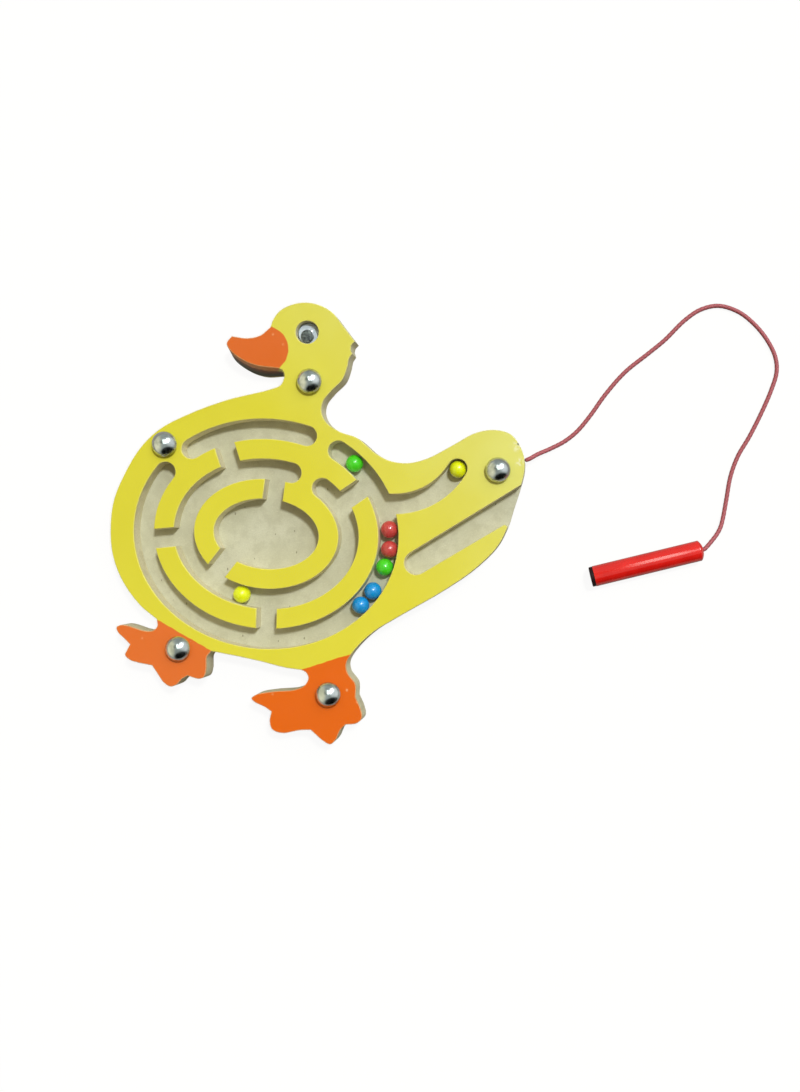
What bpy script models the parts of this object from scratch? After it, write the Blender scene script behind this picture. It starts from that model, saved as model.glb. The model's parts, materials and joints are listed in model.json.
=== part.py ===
"""A duck-shaped magnetic maze board, lying face up, with its wand on a cord.

A thin back board carries a thick plate through which the maze is routed, three glued wall pieces and
a clear cover. Five dome-headed barrel posts and five countersunk screws clamp the layers. Eight steel
balls roll in the channels, and a wand with a magnet in its tip hangs on a cord that is tied round the
tail post.

Sizes are in millimetres and are turned to metres where meshes are made. The origin is the centre of the
maze on the back face, +X runs to the tail, +Y to the head and +Z out of the painted face.
"""

import math

import bmesh
import bpy
from mathutils import Matrix, Vector

MM = 0.001

# Layers, as heights above the back face
TOUCH_GAP = 0.3
BASE_TOP = 3.0
FRAME_LOW = BASE_TOP + TOUCH_GAP
FRAME_TOP = 11.0
COVER_LOW = FRAME_TOP + TOUCH_GAP
COVER_TOP = 12.5
PAST = 1.0  # how far a cutter runs past the layer that it cuts

# The maze: nested ellipses, a wall and a channel in turn
RING_PITCH = 8.0
INNER_WALL_WIDE = 25.0
INNER_WALL_TALL = 18.0
MAZE_TURN = math.radians(-5.4)
INNER_WALL, INNER_CHANNEL, OUTER_WALL, OUTER_CHANNEL = 0, 1, 2, 3
CHAMBER = -0.5
HALF_CHANNEL = RING_PITCH / 2
CHANNEL_RUNS = (
    (INNER_CHANNEL, 76.4, 411.5),
    (OUTER_CHANNEL, 75.2, 132.2),
    (OUTER_CHANNEL, 150.1, 418.6),
)
# Each gap through a wall: its ellipse, its place along it in degrees, and its width
GAPS = {
    "inner_top": (INNER_WALL, 86.8, 8.0),
    "inner_low": (INNER_WALL, 228.6, 8.4),
    "outer_top": (OUTER_WALL, 116.8, 8.0),
    "outer_left": (OUTER_WALL, 189.1, 7.6),
    "outer_bottom": (OUTER_WALL, 274.6, 8.0),
    "outer_right": (OUTER_WALL, 394.9, 8.0),
}
GAP_REACH = 6.0
# Wall pieces that nothing joins to the frame: the ellipse and the gaps at their two ends
LOOSE_WALLS = {
    "wall_lower_left": (OUTER_WALL, "outer_left", "outer_bottom"),
    "wall_lower_right": (OUTER_WALL, "outer_bottom", "outer_right"),
    "wall_inner_left": (INNER_WALL, "inner_top", "inner_low"),
}
WALL_END_SHORT = 2.5  # a wall's path stops this far before the middle of its gap
WALL_CLEARANCE = 0.4
TAIL_ARC_CENTRE = (51.6, 41.0)
TAIL_ARC_RADIUS = 29.0
TAIL_ARC_END = math.radians(-30.8)
TAIL_RUN_IN = 7.0

# The slot that keeps the wand, open at the tail's edge and a little wider there, where its lower corner
# is rounded
SLOT_END = (60.0, -11.6)
SLOT_UPPER_ANGLE = math.radians(31.4)
SLOT_LOWER_ANGLE = math.radians(30.5)
SLOT_HALF_WIDTH = 4.75
SLOT_LENGTH = 64.0
SLOT_CORNER_AT = 37.8
SLOT_CORNER_RADIUS = 1.0

# The eye, in a blind hole
EYE = (16.4, 80.7)
EYE_HOLE_RADIUS = 4.6
EYE_HOLE_FLOOR = 6.6
EYE_RADIUS = 4.3
EYE_WALL = 0.35
EYE_CUP_LOW = EYE_HOLE_FLOOR + TOUCH_GAP
EYE_CUP_TOP = EYE_CUP_LOW + 0.6
PUPIL_RADIUS = 2.6
PUPIL_THICK = 0.4
PUPIL_SHIFT = (-0.45, -1.1)
LENS_LOW = EYE_CUP_TOP + TOUCH_GAP
LENS_RIM = 0.5
LENS_CROWN = 1.5

# Posts and screws
POSTS = {
    "head": (17.6, 60.9),
    "shoulder": (-40.2, 35.8),
    "tail": (92.9, 25.5),
    "left_foot": (-34.8, -45.8),
    "right_foot": (25.2, -64.1),
}
DOME_RADIUS = 5.0
DOME_RIM = 0.4
DOME_HEIGHT = 3.3
BARREL_RADIUS = 2.5
BARREL_LOW = 2.6
BARREL_BORE = 1.7
BARREL_BORE_TOP = 10.0
POST_HOLE = 2.8
SINK_DEPTH = 2.0
SINK_MOUTH = 3.8
SINK_NECK = 1.9
SCREW_BACK = 0.25
SCREW_HEAD = 3.2
SCREW_SHANK = 1.45
SCREW_TOP = 9.5

# Balls: the ellipse of the channel, then the low, rest and high places along it in degrees, and how far
# outside the channel's middle
BALL_RADIUS = 3.5
BALL_HEIGHT = BASE_TOP + TOUCH_GAP + BALL_RADIUS
CHANNEL_BALLS = {
    "ball_green_top": (OUTER_CHANNEL, 19.2, 49.2, 58.2, -0.3),
    "ball_red_upper": (OUTER_CHANNEL, 8.0, 8.8, 38.0, 0.0),
    "ball_red_lower": (OUTER_CHANNEL, -2.2, -2.2, -1.4, 0.2),
    "ball_green_right": (OUTER_CHANNEL, -16.2, -12.2, -12.2, 0.0),
    "ball_blue_upper": (OUTER_CHANNEL, -26.5, -26.5, -22.4, 0.25),
    "ball_blue_lower": (OUTER_CHANNEL, -92.0, -36.3, -36.3, 0.3),
    "ball_yellow_inner": (INNER_CHANNEL, -135.0, -104.7, -62.0, 0.1),
}

# Wand and cord
WAND_RADIUS = 4.2
WAND_MIDDLE = (153.0, -11.9)
WAND_ANGLE = math.radians(13.65)
WAND_LENGTH = 44.6
WAND_BORE = 2.5
STUB_RADIUS = 2.2
STUB_LENGTH = 8.0
MAGNET_FACE = 4.0
MAGNET_RIM = 0.8
MAGNET_CROWN = 0.3
PLUG_FACE = 4.0
PLUG_CROWN = 1.3
CORD_RADIUS = 0.9
CORD_HOLE = 1.25
CORD_IN_PLUG = 3.0
CORD_EXIT = (103.4, 29.7)
CORD_EXIT_ANGLE = math.radians(23)
CORD_EXIT_HEIGHT = 4.7
LOOP_RADIUS = 3.75
LOOP_POCKET = 5.0
POCKET_TOP = 6.4
GROOVE_HALF_WIDTH = 1.3
# The cord on the table, from the tail to the wand: across, up and height
CORD_ROUTE = (
    (108.4, 32.3, 3.7),
    (113.8, 34.8, 2.0),
    (119.6, 37.9, 1.1),
    (124.6, 41.9, CORD_RADIUS),
    (129.9, 48.2, CORD_RADIUS),
    (136.2, 57.0, CORD_RADIUS),
    (144.2, 66.1, CORD_RADIUS),
    (153.8, 73.8, CORD_RADIUS),
    (160.4, 79.2, CORD_RADIUS),
    (168.6, 87.3, CORD_RADIUS),
    (175.0, 91.6, CORD_RADIUS),
    (182.3, 93.2, CORD_RADIUS),
    (190.2, 90.9, CORD_RADIUS),
    (196.7, 86.0, CORD_RADIUS),
    (202.2, 79.3, CORD_RADIUS),
    (205.6, 72.2, CORD_RADIUS),
    (206.1, 66.2, CORD_RADIUS),
    (204.0, 59.0, CORD_RADIUS),
    (199.9, 49.5, CORD_RADIUS),
    (195.0, 39.8, CORD_RADIUS),
    (190.3, 31.8, CORD_RADIUS),
    (187.3, 23.6, CORD_RADIUS),
    (185.6, 14.2, CORD_RADIUS),
    (184.2, 6.8, 1.3),
    (183.1, 2.9, 1.9),
    (181.6, 0.1, 2.5),
    (179.4, -2.7, 3.4),
    (177.2, -5.2, 4.0),
    (176.2, -6.1, 4.2),
)
CORD_POINTS = 78

# The duck's outline, clockwise from the top of the beak; each stretch is one smooth curve and the next
# starts at a corner
OUTLINE = {
    "crown": (
        (1.7, 82.7), (2.7, 85.6), (5.5, 89.3), (10.4, 91.8), (15.8, 92.6), (21.2, 91.6), (26.5, 88.6),
        (30.4, 83.7), (35.5, 77.0),
    ),
    "upper_tuft": ((35.5, 77.0), (34.2, 75.7), (33.8, 74.0)),
    "lower_tuft": ((33.8, 74.0), (34.4, 72.1)),
    "nape_back_and_tail": (
        (34.4, 72.1), (33.2, 70.2), (32.6, 67.2), (30.6, 61.8), (26.0, 57.2), (22.7, 52.8), (22.2, 48.6),
        (24.4, 44.3), (29.6, 40.8), (36.4, 38.4), (43.9, 32.1), (49.6, 29.2), (56.8, 28.3), (64.6, 30.2),
        (74.4, 35.3), (83.8, 40.4), (91.5, 41.6), (97.8, 39.9), (101.6, 35.2), (103.3, 30.2),
        (103.4, 25.4), (101.8, 18.8), (99.1, 10.6), (96.9, 3.4), (92.6, -5.0), (83.1, -14.4),
        (69.6, -23.6), (54.0, -32.5), (42.4, -39.6), (34.6, -47.4), (32.1, -52.0), (32.6, -55.6),
        (35.7, -60.0), (35.8, -65.4),
    ),
    "right_foot_inner_toe": ((35.8, -65.4), (37.8, -70.0), (38.3, -73.8), (36.2, -75.8), (31.8, -76.3)),
    "right_foot_second_toe": (
        (31.8, -76.3), (29.7, -78.4), (28.0, -82.2), (25.7, -84.2), (23.0, -83.0), (17.8, -78.4),
    ),
    "right_foot_third_toe": (
        (17.8, -78.4), (13.6, -78.5), (6.4, -79.7), (2.4, -78.2), (1.4, -75.0), (2.1, -71.1),
    ),
    "right_foot_outer_toe": (
        (2.1, -71.1), (-0.6, -69.2), (-4.6, -67.3), (-5.9, -65.8), (-4.0, -64.3), (2.4, -63.1),
        (11.6, -62.3), (15.6, -60.4), (16.9, -57.6), (15.8, -55.3), (13.9, -54.4),
    ),
    "belly": ((13.9, -54.4), (7.6, -53.5), (-1.6, -51.1), (-12.0, -48.8), (-21.9, -46.9)),
    "left_foot_inner_toe": (
        (-21.9, -46.9), (-23.7, -49.2), (-23.9, -54.2), (-24.9, -57.3), (-27.0, -58.0), (-31.4, -56.7),
    ),
    "left_foot_second_toe": (
        (-31.4, -56.7), (-33.6, -58.0), (-35.8, -60.3), (-38.3, -61.1), (-41.0, -59.5), (-43.4, -56.0),
        (-45.7, -52.6),
    ),
    "left_foot_third_toe": (
        (-45.7, -52.6), (-50.8, -51.6), (-54.6, -50.4), (-56.5, -48.4), (-55.8, -46.7), (-54.5, -44.2),
    ),
    "left_foot_outer_toe": (
        (-54.5, -44.2), (-56.6, -42.0), (-59.3, -39.4), (-59.9, -37.4), (-58.2, -36.4), (-55.2, -36.7),
        (-49.4, -38.6), (-45.6, -38.8), (-43.6, -37.0), (-43.8, -34.1),
    ),
    "breast_and_neck": (
        (-43.8, -34.1), (-50.6, -28.4), (-57.6, -18.6), (-61.4, -8.4), (-62.3, 2.2), (-61.0, 13.3),
        (-57.0, 23.3), (-50.4, 34.4), (-42.8, 41.8), (-31.9, 47.6), (-15.4, 53.7), (0.8, 57.6), (5.8, 59.6),
        (7.2, 62.6), (7.3, 63.6),
    ),
    "beak_underside": (
        (7.3, 63.6), (6.6, 64.2), (5.0, 64.3), (-1.4, 64.0), (-6.5, 65.3), (-11.2, 67.9), (-14.6, 71.0),
        (-16.1, 74.6), (-13.8, 79.1),
    ),
    "beak_top": ((-13.8, 79.1), (-7.6, 78.3), (-2.4, 79.4), (1.7, 82.7)),
}

# The painted face's own edge over the beak's underside, whose side slopes out from it to the back board;
# it has as many points as that stretch
BEAK_BROW = (
    (7.3, 63.6), (6.9, 65.0), (5.5, 66.1), (0.9, 66.7), (-4.6, 67.6), (-9.6, 69.8), (-13.7, 72.8),
    (-15.8, 76.2), (-13.8, 79.1),
)
BEAK_STEPS = 5

CURVE_SAG = 0.035  # how far a chord may lie from the curve that it stands for

COLOURS = {
    "painted_mdf": ((0.73, 0.66, 0.06), 0.35, 0.0),
    "bare_mdf": ((0.55, 0.50, 0.37), 0.85, 0.0),
    "clear_acrylic": ((0.92, 0.94, 0.93), 0.05, 0.0),
    "chrome": ((0.78, 0.79, 0.79), 0.12, 1.0),
    "zinc_steel": ((0.62, 0.62, 0.60), 0.35, 1.0),
    "yellow_paint": ((0.83, 0.83, 0.01), 0.2, 0.0),
    "green_paint": ((0.05, 0.50, 0.03), 0.2, 0.0),
    "red_paint": ((0.55, 0.05, 0.06), 0.2, 0.0),
    "blue_paint": ((0.02, 0.24, 0.62), 0.2, 0.0),
    "white_plastic": ((0.80, 0.82, 0.85), 0.3, 0.0),
    "dark_plastic": ((0.05, 0.06, 0.07), 0.35, 0.0),
    "clear_plastic": ((0.90, 0.92, 0.95), 0.05, 0.0),
    "red_cord": ((0.50, 0.07, 0.08), 0.8, 0.0),
    "red_lacquer": ((0.78, 0.02, 0.02), 0.25, 0.0),
    "ferrite": ((0.02, 0.02, 0.02), 0.5, 0.3),
}


def clear_scene():
    """Takes everything out of the scene."""
    for thing in list(bpy.data.objects):
        bpy.data.objects.remove(thing, do_unlink=True)


def material(name):
    """The finish of that name, made once."""
    if name in bpy.data.materials:
        return bpy.data.materials[name]
    colour, roughness, metallic = COLOURS[name]
    made = bpy.data.materials.new(name)
    made.use_nodes = True
    shader = made.node_tree.nodes["Principled BSDF"]
    shader.inputs["Base Color"].default_value = (*colour, 1.0)
    shader.inputs["Roughness"].default_value = roughness
    shader.inputs["Metallic"].default_value = metallic
    return made


def add_object(name, data, finish, place=(0.0, 0.0, 0.0), turn=0.0):
    """An object at a place in millimetres, turned about the vertical."""
    thing = bpy.data.objects.new(name, data)
    bpy.context.collection.objects.link(thing)
    thing.location = Vector(place) * MM
    thing.rotation_euler = (0.0, 0.0, turn)
    if finish:
        data.materials.append(material(finish))
    return thing


def mesh_of(name, shape):
    """The finished mesh of a bmesh, in metres, with round sides shaded smooth."""
    bmesh.ops.recalc_face_normals(shape, faces=shape.faces)
    bmesh.ops.scale(shape, vec=(MM, MM, MM), verts=shape.verts)
    data = bpy.data.meshes.new(name)
    shape.to_mesh(data)
    shape.free()
    data.shade_smooth()
    data.set_sharp_from_angle(angle=math.radians(35))
    return data


def circle_steps(radius, sweep=2 * math.pi):
    """How many chords an arc needs to stay within the sag."""
    return max(3, math.ceil(sweep / (2 * math.acos(1 - CURVE_SAG / radius))))


def arc(centre, radius, start, end):
    """Points along an arc, both ends included."""
    steps = circle_steps(radius, abs(end - start))
    angles = [start + (end - start) * i / steps for i in range(steps + 1)]
    return [Vector((centre[0] + radius * math.cos(a), centre[1] + radius * math.sin(a))) for a in angles]


def circle(centre, radius):
    """A closed circle."""
    return arc(centre, radius, 0.0, 2 * math.pi)[:-1]


def thinned(points):
    """The curve again, without the points that lie within the sag of a longer chord."""
    kept = [points[0]]
    start = 0
    while start < len(points) - 1:
        end = start + 1
        while end + 1 < len(points) and widest_sag(points[start : end + 2]) <= CURVE_SAG:
            end += 1
        kept.append(points[end])
        start = end
    return kept


def widest_sag(stretch):
    """How far the points of a stretch lie at most from the chord between its ends."""
    along = (stretch[-1] - stretch[0]).normalized()
    away = [point - stretch[0] for point in stretch[1:-1]]
    return max((reach - along * reach.dot(along)).length for reach in away)


def smooth_curve(points, steps_per_span=24):
    """Points along a centripetal Catmull-Rom curve through the given ones."""
    given = [Vector(p) for p in points]
    if len(given) == 2:
        return given
    given = [2 * given[0] - given[1], *given, 2 * given[-1] - given[-2]]
    curve = []
    for i in range(1, len(given) - 2):
        a, b, c, d = given[i - 1 : i + 3]
        knots = [0.0]
        for first, second in ((a, b), (b, c), (c, d)):
            knots.append(knots[-1] + math.sqrt((second - first).length))
        k0, k1, k2, k3 = knots
        for step in range(steps_per_span):
            t = k1 + (k2 - k1) * step / steps_per_span
            ab = (a * (k1 - t) + b * (t - k0)) / (k1 - k0)
            bc = (b * (k2 - t) + c * (t - k1)) / (k2 - k1)
            cd = (c * (k3 - t) + d * (t - k2)) / (k3 - k2)
            abc = (ab * (k2 - t) + bc * (t - k0)) / (k2 - k0)
            bcd = (bc * (k3 - t) + cd * (t - k1)) / (k3 - k1)
            curve.append((abc * (k2 - t) + bcd * (t - k1)) / (k2 - k1))
    curve.append(given[-2])
    return curve


def duck_outline(face=False):
    """The closed outline of the back board, or of the painted face, which is drawn in under the beak."""
    loop = []
    for name, stretch in OUTLINE.items():
        if name == "beak_underside":
            curve = smooth_curve(BEAK_BROW if face else stretch, BEAK_STEPS)
        else:
            curve = thinned(smooth_curve(stretch))
        loop += curve[:-1]
    return loop


def ring_axes(ring):
    """The two half axes of a nested ellipse."""
    return INNER_WALL_WIDE + RING_PITCH * ring, INNER_WALL_TALL + RING_PITCH * ring


def ring_point(ring, degrees):
    """A point on a nested ellipse, at a place along it."""
    wide, tall = ring_axes(ring)
    t = math.radians(degrees)
    return Matrix.Rotation(MAZE_TURN, 2) @ Vector((wide * math.cos(t), tall * math.sin(t)))


def ring_normal(ring, degrees):
    """The direction that points out of a nested ellipse there."""
    wide, tall = ring_axes(ring)
    t = math.radians(degrees)
    return Matrix.Rotation(MAZE_TURN, 2) @ Vector((tall * math.cos(t), wide * math.sin(t))).normalized()


def ring_path(ring, start, end):
    """Points along a nested ellipse from one place to another."""
    wide, _ = ring_axes(ring)
    steps = circle_steps(wide, math.radians(end - start))
    return [ring_point(ring, start + (end - start) * i / steps) for i in range(steps + 1)]


def ring_shift(ring, degrees, distance):
    """The place on a nested ellipse that lies about that far on from another."""
    step = 0.1
    speed = (ring_point(ring, degrees + step) - ring_point(ring, degrees)).length / step
    return degrees + distance / speed


def stroke(path, half_width):
    """The closed outline of a cutter's track along a path, with round ends."""
    left = []
    right = []
    for i, point in enumerate(path):
        along = (path[min(i + 1, len(path) - 1)] - path[max(i - 1, 0)]).normalized()
        side = Vector((-along.y, along.x)) * half_width
        left.append(point + side)
        right.append(point - side)
    out = path[-1] - path[-2]
    back = path[0] - path[1]
    end_turn = math.atan2(out.y, out.x)
    start_turn = math.atan2(back.y, back.x)
    end_cap = arc(path[-1], half_width, end_turn - math.pi / 2, end_turn + math.pi / 2)[1:-1]
    start_cap = arc(path[0], half_width, start_turn - math.pi / 2, start_turn + math.pi / 2)[1:-1]
    return right + end_cap + left[::-1] + start_cap


def slab(name, loop, low, high, finish=None, top_loop=None):
    """A flat piece of one closed outline between two heights; its top may have its own, of as many points."""
    shape = bmesh.new()
    verts = [shape.verts.new((p[0], p[1], low)) for p in loop]
    edges = [shape.edges.new((verts[i - 1], verts[i])) for i in range(len(verts))]
    bmesh.ops.triangle_fill(shape, use_beauty=True, edges=edges)
    raised = bmesh.ops.extrude_face_region(shape, geom=list(shape.faces))
    moved = [v for v in raised["geom"] if isinstance(v, bmesh.types.BMVert)]
    bmesh.ops.translate(shape, vec=(0.0, 0.0, high - low), verts=moved)
    if top_loop:
        for vert, place in zip(verts, top_loop):
            ends = [edge.other_vert(vert) for edge in vert.link_edges]
            above = next(end for end in ends if end in moved)
            above.co.xy = place
    return add_object(name, mesh_of(name, shape), finish)


def turned_mesh(name, profile, sides):
    """A mesh turned about the vertical from a profile of radius and height."""
    shape = bmesh.new()
    verts = [shape.verts.new((radius, 0.0, height)) for radius, height in profile]
    edges = [shape.edges.new((verts[i], verts[i + 1])) for i in range(len(verts) - 1)]
    if profile[0][0] > 0 and profile[-1][0] > 0:
        edges.append(shape.edges.new((verts[-1], verts[0])))
    bmesh.ops.spin(
        shape, geom=verts + edges, axis=(0.0, 0.0, 1.0), cent=(0.0, 0.0, 0.0), angle=2 * math.pi,
        steps=sides, use_merge=True,
    )
    bmesh.ops.remove_doubles(shape, verts=shape.verts, dist=0.0001)
    return mesh_of(name, shape)


def as_cutter(thing):
    """Marks an object as a shape that only cuts."""
    thing.hide_render = True
    thing.display_type = "WIRE"
    return thing


def cut(piece, cutters):
    """Takes every cutter out of a piece."""
    for number, cutter in enumerate(cutters):
        step = piece.modifiers.new(f"cut_{number}", "BOOLEAN")
        step.operation = "DIFFERENCE"
        step.solver = "EXACT"
        step.object = cutter


def through_cutter(name, loop, low, high):
    """A cutter that runs past both faces of a layer."""
    return as_cutter(slab(name, loop, low - PAST, high + PAST))


def gap_loop(gap):
    """The track that crosses a wall at a gap, square to the wall."""
    ring, degrees, width = GAPS[gap]
    middle = ring_point(ring, degrees)
    reach = ring_normal(ring, degrees) * GAP_REACH
    return stroke([middle - reach, middle + reach], width / 2)


def wall_path(wall, short):
    """The middle line of a loose wall, ending short of its gaps' middles."""
    ring, first, last = LOOSE_WALLS[wall]
    start = GAPS[first][1]
    end = GAPS[last][1]
    return ring_path(ring, ring_shift(ring, start, short), ring_shift(ring, end, -short))


def tail_channel():
    """The channel that leaves the maze towards the tail and bends up to its dead end."""
    bend = arc(TAIL_ARC_CENTRE, TAIL_ARC_RADIUS, TAIL_ARC_END, -math.pi / 2)
    return stroke([*bend, bend[-1] - Vector((TAIL_RUN_IN, 0.0))], HALF_CHANNEL)


def wand_slot():
    """The slot that keeps the wand, run out past the tail's edge."""
    upper, lower = SLOT_UPPER_ANGLE, SLOT_LOWER_ANGLE
    end = arc(SLOT_END, SLOT_HALF_WIDTH, upper + math.pi / 2, lower + 1.5 * math.pi)
    upper_way = Vector((math.cos(upper), math.sin(upper)))
    lower_way = Vector((math.cos(lower), math.sin(lower)))
    inward = Vector((lower_way.y, -lower_way.x))
    centre = end[-1] + SLOT_CORNER_AT * lower_way + SLOT_CORNER_RADIUS * inward
    corner = arc(centre, SLOT_CORNER_RADIUS, lower + math.pi / 2, math.radians(-11))
    return [end[0] + SLOT_LENGTH * upper_way, *end, *corner, end[-1] + SLOT_LENGTH * lower_way]


def exit_direction():
    """The way in which the cord leaves the tail."""
    return Vector((math.cos(CORD_EXIT_ANGLE), math.sin(CORD_EXIT_ANGLE)))


def make_frame():
    """The thick plate with the maze, the eye hole, the slot and the cord's pocket cut out."""
    back, face = duck_outline(), duck_outline(face=True)
    frame = slab("maze_frame", back, FRAME_LOW, FRAME_TOP, "painted_mdf", face)
    loops = {f"channel_{i}": stroke(ring_path(*run), HALF_CHANNEL) for i, run in enumerate(CHANNEL_RUNS)}
    loops["chamber"] = ring_path(CHAMBER, 0.0, 360.0)[:-1]
    loops |= {f"gap_{gap}": gap_loop(gap) for gap in GAPS}
    short = WALL_END_SHORT + WALL_CLEARANCE
    room = HALF_CHANNEL + WALL_CLEARANCE
    loops |= {f"room_{wall}": stroke(wall_path(wall, short), room) for wall in LOOSE_WALLS}
    loops["tail_channel"] = tail_channel()
    loops["wand_slot"] = wand_slot()
    loops |= {f"frame_hole_{post}": circle(place, POST_HOLE) for post, place in POSTS.items()}
    cutters = [through_cutter(name, loop, FRAME_LOW, FRAME_TOP) for name, loop in loops.items()]
    eye_hole = circle(EYE, EYE_HOLE_RADIUS)
    cutters.append(as_cutter(slab("eye_hole", eye_hole, EYE_HOLE_FLOOR, FRAME_TOP + PAST)))
    pocket = circle(POSTS["tail"], LOOP_POCKET)
    exit_point = Vector(CORD_EXIT)
    groove = stroke([Vector(POSTS["tail"]), exit_point + 4 * exit_direction()], GROOVE_HALF_WIDTH)
    cutters.append(as_cutter(slab("loop_pocket", pocket, FRAME_LOW - PAST, POCKET_TOP)))
    cutters.append(as_cutter(slab("cord_groove", groove, FRAME_LOW - PAST, POCKET_TOP - TOUCH_GAP)))
    cut(frame, cutters)


def make_walls():
    """The three wall pieces that are glued down on their own."""
    for wall, (_, first, last) in LOOSE_WALLS.items():
        loop = stroke(wall_path(wall, WALL_END_SHORT), HALF_CHANNEL)
        piece = slab(wall, loop, FRAME_LOW, FRAME_TOP, "painted_mdf")
        ends = {f"end_{wall}_{gap}": gap_loop(gap) for gap in (first, last)}
        cut(piece, [through_cutter(name, end, FRAME_LOW, FRAME_TOP) for name, end in ends.items()])


def make_base():
    """The back board, countersunk from behind for the screws."""
    base = slab("base_board", duck_outline(), 0.0, BASE_TOP, "bare_mdf")
    profile = (
        (0.0, -PAST), (SINK_MOUTH, -PAST), (SINK_MOUTH, 0.0), (SINK_NECK, SINK_DEPTH),
        (POST_HOLE, SINK_DEPTH), (POST_HOLE, BASE_TOP + PAST), (0.0, BASE_TOP + PAST),
    )
    sink = turned_mesh("screw_sink", profile, circle_steps(SINK_MOUTH))
    sinks = [add_object(f"sink_{post}", sink, None, (*place, 0.0)) for post, place in POSTS.items()]
    cut(base, [as_cutter(thing) for thing in sinks])


def make_cover():
    """The clear sheet, open over the wand's slot."""
    cover = slab("clear_cover", duck_outline(face=True), COVER_LOW, COVER_TOP, "clear_acrylic")
    loops = {f"cover_hole_{post}": circle(place, POST_HOLE) for post, place in POSTS.items()}
    loops["cover_slot"] = wand_slot()
    cut(cover, [through_cutter(name, loop, COVER_LOW, COVER_TOP) for name, loop in loops.items()])


def cap_profile(radius, low, height, steps):
    """Points of a shallow dome from its rim to its crown."""
    ball = (radius**2 + height**2) / (2 * height)
    start = math.asin(radius / ball) if height <= radius else math.pi - math.asin(radius / ball)
    angles = [start * (1 - i / steps) for i in range(steps + 1)]
    return [(ball * math.sin(a), low + height - ball * (1 - math.cos(a))) for a in angles]


def make_posts():
    """Dome-headed barrel posts in front and countersunk screws behind."""
    low = COVER_TOP + TOUCH_GAP
    crown = cap_profile(DOME_RADIUS, low + DOME_RIM, DOME_HEIGHT - DOME_RIM, 6)
    post_profile = [
        (0.0, BARREL_BORE_TOP), (BARREL_BORE, BARREL_BORE_TOP), (BARREL_BORE, BARREL_LOW),
        (BARREL_RADIUS, BARREL_LOW), (BARREL_RADIUS, low), (DOME_RADIUS, low), *crown,
    ]
    screw_profile = [
        (0.0, SCREW_BACK), (SCREW_HEAD, SCREW_BACK), (SCREW_SHANK, SINK_DEPTH), (SCREW_SHANK, SCREW_TOP),
        (0.0, SCREW_TOP),
    ]
    post = turned_mesh("dome_post", post_profile, 24)
    screw = turned_mesh("sunk_screw", screw_profile, 16)
    post.materials.append(material("chrome"))
    screw.materials.append(material("zinc_steel"))
    for name, place in POSTS.items():
        add_object(f"post_{name}", post, None, (*place, 0.0))
        add_object(f"screw_{name}", screw, None, (*place, 0.0))


def make_eye():
    """The cup, the loose pupil and the clear lens, resting in the eye hole."""
    cup = [(0.0, EYE_CUP_LOW), (EYE_RADIUS, EYE_CUP_LOW), (EYE_RADIUS, EYE_CUP_TOP), (0.0, EYE_CUP_TOP)]
    add_object("eye_cup", turned_mesh("eye_cup", cup, 24), "white_plastic", (*EYE, 0.0))
    outside = cap_profile(EYE_RADIUS, LENS_LOW + LENS_RIM, LENS_CROWN, 5)
    inside = cap_profile(EYE_RADIUS - EYE_WALL, LENS_LOW + LENS_RIM, LENS_CROWN - EYE_WALL, 5)
    lens = [*inside[::-1], (EYE_RADIUS - EYE_WALL, LENS_LOW), (EYE_RADIUS, LENS_LOW), *outside]
    add_object("eye_lens", turned_mesh("eye_lens", lens, 24), "clear_plastic", (*EYE, 0.0))
    pupil = [(0.0, LENS_LOW), (PUPIL_RADIUS, LENS_LOW), (PUPIL_RADIUS, LENS_LOW + PUPIL_THICK)]
    pupil.append((0.0, LENS_LOW + PUPIL_THICK))
    disc = turned_mesh("eye_pupil", pupil, 20)
    disc.transform(Matrix.Translation(Vector((*PUPIL_SHIFT, 0.0)) * MM))
    add_object("eye_pupil", disc, "dark_plastic", (*EYE, 0.0))


def arc_centre(first, middle, last):
    """The centre of the circle through three points."""
    a = middle - first
    b = last - first
    cross = 2 * (a.x * b.y - a.y * b.x)
    across = b.y * a.length_squared - a.y * b.length_squared
    up = a.x * b.length_squared - b.x * a.length_squared
    return first + Vector((across, up)) / cross


def add_ball(name, colour, centre, rest):
    """A ball whose origin is on the axis that it rolls about."""
    shape = bmesh.new()
    bmesh.ops.create_uvsphere(shape, u_segments=16, v_segments=8, radius=BALL_RADIUS)
    bmesh.ops.translate(shape, vec=(*(rest - centre), BALL_HEIGHT), verts=shape.verts)
    add_object(name, mesh_of(name, shape), colour, (*centre, 0.0))


def make_balls():
    """The eight balls, each where it lies in its channel."""
    for name, (ring, low, rest, high, aside) in CHANNEL_BALLS.items():
        ends = [ring_point(ring, place) for place in (low, (low + high) / 2, high)]
        centre = arc_centre(*ends)
        radius = (ends[1] - centre).length
        place = centre + (ring_point(ring, rest) - centre).normalized() * (radius + aside)
        add_ball(name, f"{name.split('_')[1]}_paint", centre, place)
    centre = Vector(TAIL_ARC_CENTRE)
    add_ball("ball_yellow_tail", "yellow_paint", centre, arc(centre, TAIL_ARC_RADIUS, TAIL_ARC_END, 0.0)[0])


def wand_piece(name, profile, finish):
    """A piece turned about the wand's own axis."""
    data = turned_mesh(name, profile, 24)
    data.transform(Matrix.Rotation(math.pi / 2, 4, "Y"))
    add_object(name, data, finish, (*WAND_MIDDLE, WAND_RADIUS), WAND_ANGLE)


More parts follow.
